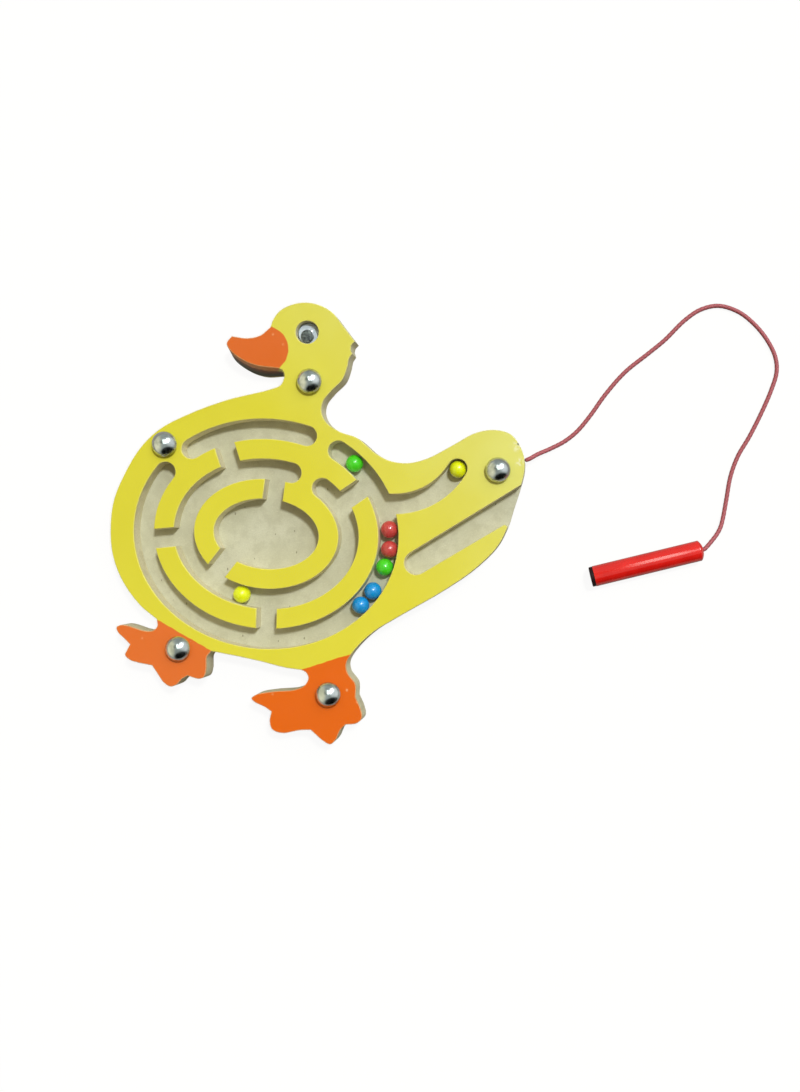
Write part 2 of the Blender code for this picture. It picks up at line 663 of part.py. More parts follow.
def make_wand():
    """The tube, the magnet in its tip and the plug that holds the cord."""
    half = WAND_LENGTH / 2
    edge = 0.5
    tube = [
        (WAND_BORE, -half), (WAND_RADIUS - edge, -half), (WAND_RADIUS, -half + edge),
        (WAND_RADIUS, half - edge), (WAND_RADIUS - edge, half), (WAND_BORE, half),
    ]
    wand_piece("wand_tube", tube, "red_lacquer")
    face = half + TOUCH_GAP
    crown = cap_profile(MAGNET_FACE, face + MAGNET_RIM, MAGNET_CROWN, 4)
    magnet = [
        (0.0, -half + STUB_LENGTH), (STUB_RADIUS, -half + STUB_LENGTH), (STUB_RADIUS, -face),
        (MAGNET_FACE, -face), *[(radius, -height) for radius, height in crown],
    ]
    wand_piece("wand_magnet", magnet, "ferrite")
    crown = [(r, z) for r, z in cap_profile(PLUG_FACE, face, PLUG_CROWN, 5) if r > CORD_HOLE + 0.2]
    floor = face + PLUG_CROWN - CORD_IN_PLUG
    plug = [
        (0.0, half - STUB_LENGTH), (STUB_RADIUS, half - STUB_LENGTH), (STUB_RADIUS, face), *crown,
        (CORD_HOLE, crown[-1][1]), (CORD_HOLE, floor), (0.0, floor),
    ]
    wand_piece("wand_plug", plug, "red_lacquer")


def wand_axis_point(along):
    """A point on the wand's axis, measured from its middle towards the cord."""
    return Vector(
        (
            WAND_MIDDLE[0] + along * math.cos(WAND_ANGLE),
            WAND_MIDDLE[1] + along * math.sin(WAND_ANGLE),
            WAND_RADIUS,
        )
    )


def cord_line():
    """The middle line of the free cord, from the tail's edge into the wand's plug."""
    start = []
    for step in (0.4, 2.4):
        place = Vector(CORD_EXIT) + exit_direction() * step
        start.append(Vector((*place, CORD_EXIT_HEIGHT)))
    face = WAND_LENGTH / 2 + TOUCH_GAP + PLUG_CROWN
    end = [wand_axis_point(face + step) for step in (-1.3, TOUCH_GAP - CORD_IN_PLUG)]
    return smooth_curve([*start, *CORD_ROUTE, *end])


def evenly_spaced(line, count):
    """Points the same distance apart along a line."""
    lengths = [0.0]
    for first, second in zip(line, line[1:]):
        lengths.append(lengths[-1] + (second - first).length)
    points = []
    span = 0
    for i in range(count):
        wanted = lengths[-1] * i / (count - 1)
        while span < len(line) - 2 and lengths[span + 1] < wanted:
            span += 1
        share = (wanted - lengths[span]) / (lengths[span + 1] - lengths[span])
        points.append(line[span].lerp(line[span + 1], share))
    return points


def make_cord():
    """The free cord as a tube, and the loop that ties it round the tail post."""
    exit_place = Vector((*CORD_EXIT, 0.0))
    curve = bpy.data.curves.new("cord", "CURVE")
    curve.dimensions = "3D"
    curve.bevel_depth = CORD_RADIUS * MM
    curve.bevel_resolution = 2
    curve.use_fill_caps = True
    spline = curve.splines.new("POLY")
    points = evenly_spaced(cord_line(), CORD_POINTS)
    spline.points.add(len(points) - 1)
    for knot, point in zip(spline.points, points):
        knot.co = (*((point - exit_place) * MM), 1.0)
    add_object("cord", curve, "red_cord", exit_place)
    loop = add_loop()
    join = loop.modifiers.new("join", "BOOLEAN")
    join.operation = "UNION"
    join.solver = "EXACT"
    join.object = add_stub()


def add_loop():
    """The ring of cord round the barrel of the tail post."""
    section = circle((LOOP_RADIUS, CORD_EXIT_HEIGHT), CORD_RADIUS)
    return add_object("cord_loop", turned_mesh("cord_loop", section, 24), "red_cord", (*POSTS["tail"], 0.0))


def add_stub():
    """The stretch of cord from the loop to the tail's edge."""
    exit_point = Vector(CORD_EXIT)
    inner = Vector(POSTS["tail"]) + (exit_point - Vector(POSTS["tail"])).normalized() * LOOP_RADIUS
    run = exit_point - inner
    profile = [(0.0, 0.0), *cap_profile(CORD_RADIUS, run.length - CORD_RADIUS, CORD_RADIUS, 4)]
    profile.insert(1, (CORD_RADIUS, 0.0))
    data = turned_mesh("loop_stub", profile, 12)
    data.transform(Matrix.Rotation(math.pi / 2, 4, "Y"))
    turn = math.atan2(run.y, run.x)
    return as_cutter(add_object("loop_stub", data, "red_cord", (*inner, CORD_EXIT_HEIGHT), turn))


def main():
    clear_scene()
    make_base()
    make_frame()
    make_walls()
    make_cover()
    make_posts()
    make_eye()
    make_balls()
    make_wand()
    make_cord()


main()
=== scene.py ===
"""Looks of a duck-shaped magnetic maze board with its wand on a cord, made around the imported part.

Everything is in metres in the part's frame. Lengths below are given in millimetres times MM.
"""

import json
import math

import bmesh
import bpy
from mathutils import Matrix, Vector


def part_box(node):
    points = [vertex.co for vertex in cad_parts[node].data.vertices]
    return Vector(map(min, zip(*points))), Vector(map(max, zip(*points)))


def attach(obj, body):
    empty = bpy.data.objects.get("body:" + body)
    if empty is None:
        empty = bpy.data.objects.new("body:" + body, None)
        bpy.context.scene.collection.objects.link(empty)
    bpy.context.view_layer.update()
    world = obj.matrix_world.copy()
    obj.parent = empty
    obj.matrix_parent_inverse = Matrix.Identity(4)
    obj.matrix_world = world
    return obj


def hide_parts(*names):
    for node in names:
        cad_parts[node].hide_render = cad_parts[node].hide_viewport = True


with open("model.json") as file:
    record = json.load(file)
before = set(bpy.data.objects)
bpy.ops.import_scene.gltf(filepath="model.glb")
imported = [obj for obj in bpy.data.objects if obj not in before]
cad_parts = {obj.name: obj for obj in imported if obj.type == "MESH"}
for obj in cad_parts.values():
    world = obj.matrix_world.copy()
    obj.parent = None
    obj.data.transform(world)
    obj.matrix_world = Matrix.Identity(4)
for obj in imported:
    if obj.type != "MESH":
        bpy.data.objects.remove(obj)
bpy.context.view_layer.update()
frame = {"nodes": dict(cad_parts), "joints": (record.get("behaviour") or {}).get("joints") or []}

MM = 0.001
JOINTS = {joint["name"]: joint for joint in frame["joints"]}

# Heights of the layers, which close up here on the glue that the part leaves as gaps
FLOOR_TOP = 3.0 * MM
PAINT_TOP = 11.0 * MM
COVER_TOP = 12.5 * MM
GLUE_GAP = 0.3 * MM
GLUE = 0.02 * MM
# Heights this close count as one
NEAR = 0.01 * MM
# How far the edges are rounded
PAINT_ROUND = 0.3 * MM
BACK_ROUND = 0.35 * MM
COVER_ROUND = 0.12 * MM

# Photograph: straight down, from over a point right of the duck, with the frame's height and how far the
# frame is moved sideways in pixels
PHOTO_TALL = 1092
PHOTO_OFF = -150
CAMERA_OVER = (113.6 * MM, -4.84 * MM)
CAMERA_HEIGHT = 500 * MM
SENSOR = 36.0
LENS = 40.3
CAMERA_SHIFT = PHOTO_OFF / PHOTO_TALL

# Light
KEY_FROM = Vector((0.34, 0.39, 1.0)).normalized()
KEY_STRENGTH = 2.05
LAMP_COLOUR = (0.96, 1.01, 1.06)
KEY_ANGLE = math.radians(7)
SIDE_FROM = Vector((0.66, 0.82, 0.9)).normalized()
SIDE_STRENGTH = 0.5
SIDE_ANGLE = math.radians(28)
SKY_STRENGTH = 0.5
# Long lamps that metal and lacquer mirror: their turn, then as slopes from overhead their middle and half size
# along that turn and across it, and how much brighter than the ceiling they are
LONG_LAMPS = (
    (0.0, (0.35, 0.45), (0.39, 0.12), 1.6),
    (math.radians(13.65), (0.08, 0.1), (0.4, 0.32), 9.0),
)
# Zones of the room: the way to the middle, the angles from it where the zone is whole and where it ends, and
# the colour. Daylight is weak and warm from the near end of the table, and cooler from the right
DAYLIGHT = "#FFEFD2"
DAYLIGHT_ZONES = (
    ((-0.1, -1.0, 0.1), 25.0, 95.0, "#5E4A28"),
    ((1.0, 0.0, 0.2), 20.0, 80.0, "#F6F8F6"),
)
# What metal mirrors: grey all round, a cream wall, a dull ceiling, a bright window wall and a dark near end
MIRRORED = "#A8B2AC"
MIRRORED_ZONES = (
    ((-0.95, 0.0, 0.3), 28.0, 64.0, "#FAF8D2"),
    ((-0.3, 0.25, 0.9), 6.0, 18.0, "#7C8476"),
    ((0.8, 0.3, 0.56), 18.0, 46.0, "#F4FAF8"),
    ((0.32, -0.88, 0.26), 39.0, 50.0, "#060806"),
)
# The paper's glow, the eye's share of it and metal's, which ends between two distances from the origin
PAPER_GLOW = 1.1
PAPER_SHARE = 0.84
PAPER_MIRRORED = 0.25
PAPER_NEAR = 0.1
PAPER_FAR = 0.35

# Cord
CORD_RADIUS = 0.9 * MM
CORD_IN_PLUG = 3.0 * MM
CORD_HOLE = 1.25 * MM
BRAID_PITCH = 1.9 * MM
BRAID_RELIEF = 0.07 * MM
BRAID_STRANDS = 4
BRAID_SIDES = 20
RINGS_PER_PITCH = 8
CURVE_STEPS = 24
CORD_TIP = 0.02 * MM
CORD_EXIT_ANGLE = math.radians(23)
CORD_ROUTE = (
    (108.4, 32.3, 3.7),
    (113.8, 34.8, 2.0),
    (119.6, 37.9, 1.1),
    (124.6, 41.9, 0.9),
    (129.9, 48.2, 0.9),
    (136.2, 57.0, 0.9),
    (144.2, 66.1, 0.9),
    (153.8, 73.8, 0.9),
    (160.4, 79.2, 0.9),
    (168.6, 87.3, 0.9),
    (175.0, 91.6, 0.9),
    (182.3, 93.2, 0.9),
    (190.2, 90.9, 0.9),
    (196.7, 86.0, 0.9),
    (202.2, 79.3, 0.9),
    (205.6, 72.2, 0.9),
    (206.1, 66.2, 0.9),
    (204.0, 59.0, 0.9),
    (199.9, 49.5, 0.9),
    (195.0, 39.8, 0.9),
    (190.3, 31.8, 0.9),
    (187.3, 23.6, 0.9),
    (185.6, 14.2, 0.9),
    (184.2, 6.8, 1.3),
    (183.1, 2.9, 1.9),
    (181.6, 0.1, 2.5),
    (179.4, -2.7, 3.4),
    (177.2, -5.2, 4.0),
    (176.2, -6.1, 4.2),
)
# The loop round the tail's post: distance from the post and angle from the way out, in degrees
LOOP_ROUTE = (
    (8.4, 0.0),
    (6.2, 0.0),
    (4.9, -6.0),
    (4.05, -24.0),
    (3.75, -50.0),
    (3.75, -80.0),
    (3.75, -110.0),
    (3.75, -140.0),
    (3.75, -170.0),
    (3.75, -200.0),
    (3.75, -230.0),
    (3.75, -260.0),
    (3.75, -290.0),
    (3.75, -312.0),
)

# Wand
WAND_RADIUS = 4.2 * MM
WAND_BORE = 2.5 * MM
MAGNET_RADIUS = 4.05 * MM
MAGNET_THICK = 1.4 * MM
PLUG_CROWN = 1.3 * MM
STUB_LENGTH = 8 * MM

# Paint lines on the face, in millimetres
BEAK_ARC_CENTRE = (-0.7, 73.8)
BEAK_ARC_RADIUS = 9.55
BEAK_TIP_SIDE = -0.7
BEAK_LOWEST = 62.0
LEFT_FOOT_LINE = ((-43.8, -34.1), (-21.6, -46.9))
RIGHT_FOOT_LINE = ((13.9, -54.4), (33.8, -48.1))
# Chips in the orange: x, y and radius
CHIPS = (
    (2.7, 79.9, 0.55),
    (6.9, 75.8, 0.5),
    (-8.3, 68.1, 0.5),
    (-49.6, -41.7, 0.45),
    (32.4, -62.5, 0.6),
    (36.4, -67.3, 0.6),
    (2.6, -64.1, 0.5),
)
YELLOW_HEAD = "#DBD237"
YELLOW_BELLY = "#E3D93B"
YELLOW_TAIL_GLARE = "#DEDA6A"
YELLOW_CLOUD = "#D8CD36"
# The yellow is a little fuller towards the belly, and paler towards the tail, where the lamp's glare on the
# clear sheet is painted in: a way on the face, from and to
YELLOW_TONES_AND_GLARE = (
    ((0.64, -0.77, 0.0), -60.0, 65.0, YELLOW_BELLY),
    ((0.8, 0.6, 0.0), 30.0, 95.0, YELLOW_TAIL_GLARE),
)
ORANGE_BEAK = "#DC6A24"
ORANGE_LEFT_FOOT = "#E27029"
ORANGE_RIGHT_FOOT = "#E46602"
# Where the paint by the cord's way out is rubbed, with painted glints in it, and a nick there: x, y and radius
RUBBED_TAIL_GLINTS = ((101.3, 28.8, 2.4), (99.6, 34.8, 2.6))
NICK = (101.0, 36.0, 0.7)
# The slope under the beak, where the coat thins and is darkened downwards into painted shade, first brown and
# then near black: from one height to another, in that colour
SLOPE_SHADE = ((8.6, 7.4, "#6E4218"), (6.8, 4.8, "#3C3C1C"))
# The share of pale sealer along the rounded edges, partly where the paint is rubbed and partly a painted edge
# glint, and how much the sheet mirrors at most
RUBBED_AND_EDGE_GLINT = 0.32
SLANT_MIRROR = 0.45


def linear(hex_colour):
    """A colour written as sRGB hex, as linear light."""
    parts = [int(hex_colour[i : i + 2], 16) / 255 for i in (1, 3, 5)]
    light = [c / 12.92 if c <= 0.04045 else ((c + 0.055) / 1.055) ** 2.4 for c in parts]
    return (*light, 1.0)


def add(tree, kind, inputs=None, output=0, **settings):
    """One shader node with its settings and its values or links, as the output that is wanted."""
    made = tree.nodes.new(f"ShaderNode{kind}")
    for name, value in settings.items():
        setattr(made, name, value)
    for name, value in (inputs or {}).items():
        if isinstance(value, bpy.types.NodeSocket):
            tree.links.new(value, made.inputs[name])
        else:
            made.inputs[name].default_value = value
    return made.outputs[output]


def new_material(name, roughness, metallic=0.0, ior=1.5):
    """A material with its plain values, its tree and its shader."""
    made = bpy.data.materials.new(name)
    made.use_nodes = True
    shader = made.node_tree.nodes["Principled BSDF"]
    shader.inputs["Roughness"].default_value = roughness
    shader.inputs["Metallic"].default_value = metallic
    if not metallic:
        shader.inputs["IOR"].default_value = ior
    return made, made.node_tree, shader


def finish_surface(tree, shader, colour=None, roughness=None, relief=None, depth=0.0):
    """Links a surface's colour, roughness and relief, whose depth is in millimetres."""
    if colour:
        tree.links.new(colour, shader.inputs["Base Color"])
    if roughness:
        tree.links.new(roughness, shader.inputs["Roughness"])
    if relief:
        bump = add(tree, "Bump", {"Height": relief, "Distance": depth * MM, "Strength": 1.0})
        tree.links.new(bump, shader.inputs["Normal"])


def object_point(tree):
    """The place on the piece, in millimetres."""
    place = add(tree, "TexCoord", output="Object")
    return add(tree, "VectorMath", {0: place, 3: 1 / MM}, operation="SCALE")


def blotches(tree, point, size, low, high, low_to=0.0, high_to=1.0, detail=2.0, roughness=0.5):
    """Cloudy blotches about that many millimetres wide, carried from one range of values to another."""
    cloud = {"Vector": point, "Scale": 1 / size, "Detail": detail, "Roughness": roughness}
    cloud = add(tree, "TexNoise", cloud)
    span = {"Value": cloud, "From Min": low, "From Max": high, "To Min": low_to, "To Max": high_to}
    return add(tree, "MapRange", span, interpolation_type="SMOOTHSTEP")


def specks(tree, point, spacing, smallest, largest, share):
    """Round specks scattered that far apart, between two radii, in a share of the places, in millimetres."""
    away = add(tree, "TexVoronoi", {"Vector": point, "Scale": 1 / spacing}, "Distance")
    pick = add(tree, "SeparateColor", {0: away.node.outputs["Color"]})
    low = 1 - share
    radius = {"Value": pick.node.outputs[1], "To Min": smallest / spacing, "To Max": largest / spacing}
    inside = add(tree, "Math", {0: add(tree, "MapRange", radius), 1: away}, operation="SUBTRACT")
    soft = 0.15 * smallest / spacing
    drawn = {"Value": inside, "From Min": -soft, "From Max": soft}
    drawn = add(tree, "MapRange", drawn, interpolation_type="SMOOTHSTEP")
    chosen = add(tree, "Math", {0: pick, 1: low}, operation="GREATER_THAN")
    return add(tree, "Math", {0: drawn, 1: chosen}, operation="MULTIPLY")


def beyond_line(tree, point, line):
    """How far a point lies to the right of a line, walking from its first end to its second."""
    (x0, y0), (x1, y1) = line
    length = math.hypot(x1 - x0, y1 - y0)
    normal = ((y1 - y0) / length, -(x1 - x0) / length, 0.0)
    across = add(tree, "VectorMath", {0: point, 1: normal}, "Value", operation="DOT_PRODUCT")
    return add(tree, "Math", {0: across, 1: x0 * normal[0] + y0 * normal[1]}, operation="SUBTRACT")


def near_spot(tree, flat_point, spot, inner, outer):
    """1 within a distance of a spot on the face, falling to 0 at another, in millimetres."""
    away = add(tree, "VectorMath", {0: flat_point, 1: (*spot, 0.0)}, "Value", operation="DISTANCE")
    span = {"Value": away, "From Min": outer, "From Max": inner}
    return add(tree, "MapRange", span, interpolation_type="SMOOTHSTEP")


def beak_depth(tree, point, flat_point):
    """How far inside the beak's mask a point lies: in a round, or left of its middle and above the breast."""
    centre = (*BEAK_ARC_CENTRE, 0.0)
    away = add(tree, "VectorMath", {0: flat_point, 1: centre}, "Value", operation="DISTANCE")
    in_arc = add(tree, "Math", {0: BEAK_ARC_RADIUS, 1: away}, operation="SUBTRACT")
    x = add(tree, "SeparateXYZ", {0: point})
    tip_side = add(tree, "Math", {0: BEAK_TIP_SIDE, 1: x}, operation="SUBTRACT")
    above = add(tree, "Math", {0: x.node.outputs[1], 1: BEAK_LOWEST}, operation="SUBTRACT")
    corner = add(tree, "Math", {0: tip_side, 1: above}, operation="MINIMUM")
    return add(tree, "Math", {0: in_arc, 1: corner}, operation="MAXIMUM")


def thinning_coat_into_shade(tree, point, colour):
    """A coat that thins out down a sloping side, darkened downwards into painted shade, first brown and then
    near black.
    """
    z = add(tree, "SeparateXYZ", {0: point}, 2)
    ragged = blotches(tree, point, 0.9, 0.0, 1.0, -0.5, 0.5, detail=3.0)
    height = add(tree, "Math", {0: z, 1: ragged}, operation="ADD")
    for high, low, shade_tone in SLOPE_SHADE:
        bare_and_painted_light = add(tree, "MapRange", {"Value": height, "From Min": high, "From Max": low})
        colour = add(tree, "Mix", {0: bare_and_painted_light, 6: colour, 7: linear(shade_tone)}, 2, data_type="RGBA")
    return colour


def sprayed_paint(name, bare_and_painted_light):
    """Acrylic enamel sprayed over masks on sealed fibreboard, then rubbed down along its edges.

    It gives an even gloss with fine orange peel, soft colour lines, dust nibs and a few chips, a painted glare
    paler towards the tail, and painted glints among rubbed flecks by the cord. The share given is the pale
    sealer along the rounded edge, partly rubbed paint and partly a painted edge glint, which is about a third;
    where it is given, the slope under the beak darkens into painted shade.
    """
    made, tree, shader = new_material(name, 0.34, ior=1.48)
    shader.inputs["Specular IOR Level"].default_value = 0.25
    point = object_point(tree)
    flat_point = add(tree, "VectorMath", {0: point, 1: (1.0, 1.0, 0.0)}, operation="MULTIPLY")
    yellow = linear(YELLOW_HEAD)
    # A fuller tone towards the belly, and painted glare that pales the yellow towards the tail
    for way, start, end, tone in YELLOW_TONES_AND_GLARE:
        along = add(tree, "VectorMath", {0: point, 1: way}, "Value", operation="DOT_PRODUCT")
        share = add(tree, "MapRange", {"Value": along, "From Min": start, "From Max": end})
        yellow = add(tree, "Mix", {0: share, 6: yellow, 7: linear(tone)}, 2, data_type="RGBA")
    cloud = blotches(tree, point, 22.0, 0.35, 0.65, 0.0, 0.3, detail=3.0)
    colour = add(tree, "Mix", {0: cloud, 6: yellow, 7: linear(YELLOW_CLOUD)}, 2, data_type="RGBA")
    wander = blotches(tree, point, 2.5, 0.0, 1.0, -0.25, 0.25)
    masks = (
        (beak_depth(tree, point, flat_point), ORANGE_BEAK),
        (beyond_line(tree, point, LEFT_FOOT_LINE), ORANGE_LEFT_FOOT),
        (beyond_line(tree, point, RIGHT_FOOT_LINE), ORANGE_RIGHT_FOOT),
    )
    for depth, orange in masks:
        edge = add(tree, "Math", {0: depth, 1: wander}, operation="ADD")
        share = add(tree, "MapRange", {"Value": edge, "From Min": -0.15, "From Max": 0.15})
        colour = add(tree, "Mix", {0: share, 6: colour, 7: linear(orange)}, 2, data_type="RGBA")
    # Chips down to the sealer
    ragged = blotches(tree, point, 0.7, 0.3, 0.7)
    for chip_x, chip_y, radius in CHIPS:
        chip = near_spot(tree, flat_point, (chip_x, chip_y), radius * 0.5, radius * 1.2)
        chip = add(tree, "Math", {0: chip, 1: ragged}, operation="MULTIPLY")
        colour = add(tree, "Mix", {0: chip, 6: colour, 7: linear("#F0B47C")}, 2, data_type="RGBA")
    # Rubbed paint with painted glints by the cord, in flecks half a millimetre wide
    fleck = blotches(tree, point, 0.9, 0.45, 0.6, 0.0, 0.75, detail=1.0)
    for spot_x, spot_y, radius in RUBBED_TAIL_GLINTS:
        rubbed_glint = near_spot(tree, flat_point, (spot_x, spot_y), radius * 0.4, radius)
        rubbed_glint = add(tree, "Math", {0: fleck, 1: rubbed_glint}, operation="MULTIPLY")
        colour = add(tree, "Mix", {0: rubbed_glint, 6: colour, 7: linear("#F0ECBE")}, 2, data_type="RGBA")
    nick = near_spot(tree, flat_point, NICK[:2], NICK[2] * 0.5, NICK[2])
    colour = add(tree, "Mix", {0: nick, 6: colour, 7: linear("#6A6234")}, 2, data_type="RGBA")
    # Dust nibs, a few in each square centimetre
    nib = specks(tree, point, 7.0, 0.12, 0.28, 0.3)
    dull = add(tree, "Math", {0: nib, 1: 0.25}, operation="MULTIPLY")
    colour = add(tree, "Mix", {0: dull, 6: colour, 7: linear("#8C8440")}, 2, data_type="RGBA")
    if bare_and_painted_light:
        # Pale sealer on the rounded edge: partly rubbed paint, partly a painted edge glint
        worn = blotches(tree, point, 3.0, 0.3, 0.6, bare_and_painted_light * 0.7, bare_and_painted_light, detail=3.0)
        colour = add(tree, "Mix", {0: worn, 6: colour, 7: linear("#EFE9A8")}, 2, data_type="RGBA")
        # Under the beak the coat thins and darkens downwards into painted shade
        colour = thinning_coat_into_shade(tree, point, colour)
    # Orange peel, drawn at 0.8 mm so that it can be seen
    peel = blotches(tree, point, 0.8, 0.0, 1.0, 0.0, 0.4, detail=1.0)
    relief = add(tree, "Math", {0: peel, 1: nib}, operation="ADD")
    gloss = blotches(tree, point, 9.0, 0.3, 0.7, 0.3, 0.42, detail=3.0)
    finish_surface(tree, shader, colour, gloss, relief, 0.03)
    return made


def sanded_board():
    """Medium density fibreboard with its sanded face: pale, matt, felted and flecked with bark."""
    made, tree, shader = new_material("sanded_fibreboard", 0.8)
    point = object_point(tree)
    cloud = blotches(tree, point, 14.0, 0.3, 0.7, detail=3.0)
    colour = {0: cloud, 6: linear("#CECCB0"), 7: linear("#C3C1A3")}
    colour = add(tree, "Mix", colour, 2, data_type="RGBA")
    stain = blotches(tree, point, 4.0, 0.42, 0.66, 0.0, 0.6, detail=4.0, roughness=0.65)
    colour = add(tree, "Mix", {0: stain, 6: colour, 7: linear("#B9B698")}, 2, data_type="RGBA")
    # Felted fibres, drawn at 0.6 mm
    felt = add(tree, "TexNoise", {"Vector": point, "Scale": 1 / 0.6, "Detail": 4.0, "Roughness": 0.6})
    felted = {"Value": felt, "From Min": 0.45, "From Max": 0.85, "To Max": 0.6}
    dark = add(tree, "MapRange", felted)
    colour = add(tree, "Mix", {0: dark, 6: colour, 7: linear("#B4B090")}, 2, data_type="RGBA")
    pale = add(tree, "MapRange", {"Value": felt, "From Min": 0.4, "From Max": 0.22, "To Max": 0.5})
    colour = add(tree, "Mix", {0: pale, 6: colour, 7: linear("#E6E4D0")}, 2, data_type="RGBA")
    # Bark flecks, longer along the way the board was pressed
    pressed = {"Vector": point, "Rotation": (0.0, 0.0, 0.5), "Scale": (1.0, 0.5, 1.0)}
    pressed = add(tree, "Mapping", pressed)
    fleck = specks(tree, pressed, 2.8, 0.12, 0.34, 0.4)
    fleck = add(tree, "Math", {0: fleck, 1: 0.6}, operation="MULTIPLY")
    colour = add(tree, "Mix", {0: fleck, 6: colour, 7: linear("#5F563C")}, 2, data_type="RGBA")
    finish_surface(tree, shader, colour, None, felt, 0.035)
    return made


def routed_board():
    """The fibreboard's routed edge: furry, ribbed by the cutter, with overspray under the face."""
    made, tree, shader = new_material("routed_fibreboard", 0.9)
    point = object_point(tree)
    felt = add(tree, "TexNoise", {"Vector": point, "Scale": 1 / 0.8, "Detail": 4.0, "Roughness": 0.65})
    furry = add(tree, "MapRange", {"Value": felt, "From Min": 0.3, "From Max": 0.7})
    colour = {0: furry, 6: linear("#ECE6C6"), 7: linear("#D6CCA4")}
    colour = add(tree, "Mix", colour, 2, data_type="RGBA")
    # Scorch bands where the cutter paused
    scorch = blotches(tree, point, 11.0, 0.56, 0.72, 0.0, 0.2)
    colour = add(tree, "Mix", {0: scorch, 6: colour, 7: linear("#8A7B50")}, 2, data_type="RGBA")
    ragged = blotches(tree, point, 1.5, 0.0, 1.0, -1.0, 1.0)
    z = add(tree, "SeparateXYZ", {0: point}, 2)
    height = add(tree, "Math", {0: z, 1: ragged}, operation="ADD")
    top = PAINT_TOP / MM
    spray = {"Value": height, "From Min": top - 2.5, "From Max": top, "To Max": 0.35}
    spray = add(tree, "MapRange", spray)
    colour = add(tree, "Mix", {0: spray, 6: colour, 7: linear("#D2C660")}, 2, data_type="RGBA")
    # Cutter ribs 0.6 mm apart up the wall
    stretched = add(tree, "Mapping", {"Vector": point, "Scale": (0.05, 0.05, 1.0)})
    ribs = blotches(tree, stretched, 0.6, 0.0, 1.0, 0.0, 0.6, detail=1.0)
    relief = add(tree, "Math", {0: felt, 1: ribs}, operation="ADD")
    finish_surface(tree, shader, colour, None, relief, 0.08)
    return made


def clear_plastic(name, haze, glare):
    """Clear acrylic or styrene, polished: nearly unseen face on, with mirror glints at a slant.

    Glare is how much it mirrors face on, which is below glass's 0.04 under a dark ceiling.
    """
    made, tree, shader = new_material(name, haze)
    tree.nodes.remove(shader)
    through = add(tree, "BsdfTransparent", {"Color": linear("#FFFFFF")})
    gloss = add(tree, "BsdfGlossy", {"Color": linear("#FFFFFF"), "Roughness": haze})
    # It mirrors more towards a slant, alike on both faces of the sheet
    slant = add(tree, "LayerWeight", {"Blend": 0.5}, "Facing")
    slant = add(tree, "Math", {0: slant, 1: 5.0}, operation="POWER")
    slant = {"Value": slant, "To Min": glare, "To Max": SLANT_MIRROR}
    both = {0: add(tree, "MapRange", slant), 1: through, 2: gloss}
    both = add(tree, "MixShader", both)
    tree.links.new(both, tree.nodes["Material Output"].inputs["Surface"])
    return made


def plated_steel(name, colour, smallest, largest):
    """Plated steel: chrome buffed to a soft mirror, or bright zinc with a fine frost and finger marks."""
    made, tree, shader = new_material(name, smallest, metallic=1.0)
    point = object_point(tree)
    smear = blotches(tree, point, 1.6, 0.35, 0.7, smallest, largest, detail=3.0)
    cloud = blotches(tree, point, 3.0, 0.3, 0.7)
    tone = add(tree, "Mix", {0: cloud, 6: linear(colour), 7: linear("#B6BABA")}, 2, data_type="RGBA")
    ripple = add(tree, "TexNoise", {"Vector": point, "Scale": 1 / 0.9, "Detail": 1.0})
    finish_surface(tree, shader, tone, smear, ripple, 0.006)
    return made


def ball_enamel(name, colour, worn):
    """Tumbled enamel on a steel ball: glossy, with thinner rub marks."""
    made, tree, shader = new_material(name, 0.2, ior=1.52)
    point = object_point(tree)
    cloud = blotches(tree, point, 2.4, 0.35, 0.7, 0.0, 0.3)
    tone = add(tree, "Mix", {0: cloud, 6: linear(colour), 7: linear(worn)}, 2, data_type="RGBA")
    rub = blotches(tree, point, 0.7, 0.66, 0.74, 0.0, 0.35, detail=3.0, roughness=0.7)
    tone = add(tree, "Mix", {0: rub, 6: tone, 7: linear(worn)}, 2, data_type="RGBA")
    gloss = blotches(tree, point, 1.2, 0.3, 0.7, 0.2, 0.32, detail=3.0)
    ripple = add(tree, "TexNoise", {"Vector": point, "Scale": 1 / 1.1, "Detail": 1.0})
    finish_surface(tree, shader, tone, gloss, ripple, 0.012)
    shader.inputs["Coat Weight"].default_value = 0.3
    shader.inputs["Coat Roughness"].default_value = 0.1
    return made


def moulded_plastic(name, colour, second, roughness, mottle):
    """Injection-moulded styrene, with flow marks that many millimetres wide."""
    made, tree, shader = new_material(name, roughness, ior=1.55)
    point = object_point(tree)
    flow = blotches(tree, point, mottle, 0.35, 0.65, detail=3.0)
    tone = add(tree, "Mix", {0: flow, 6: linear(colour), 7: linear(second)}, 2, data_type="RGBA")
    gloss = blotches(tree, point, 0.9, 0.3, 0.7, roughness * 0.8, roughness * 1.3)
    grain = add(tree, "TexNoise", {"Vector": point, "Scale": 1 / 0.25, "Detail": 2.0})
    finish_surface(tree, shader, tone, gloss, grain, 0.01)
    return made


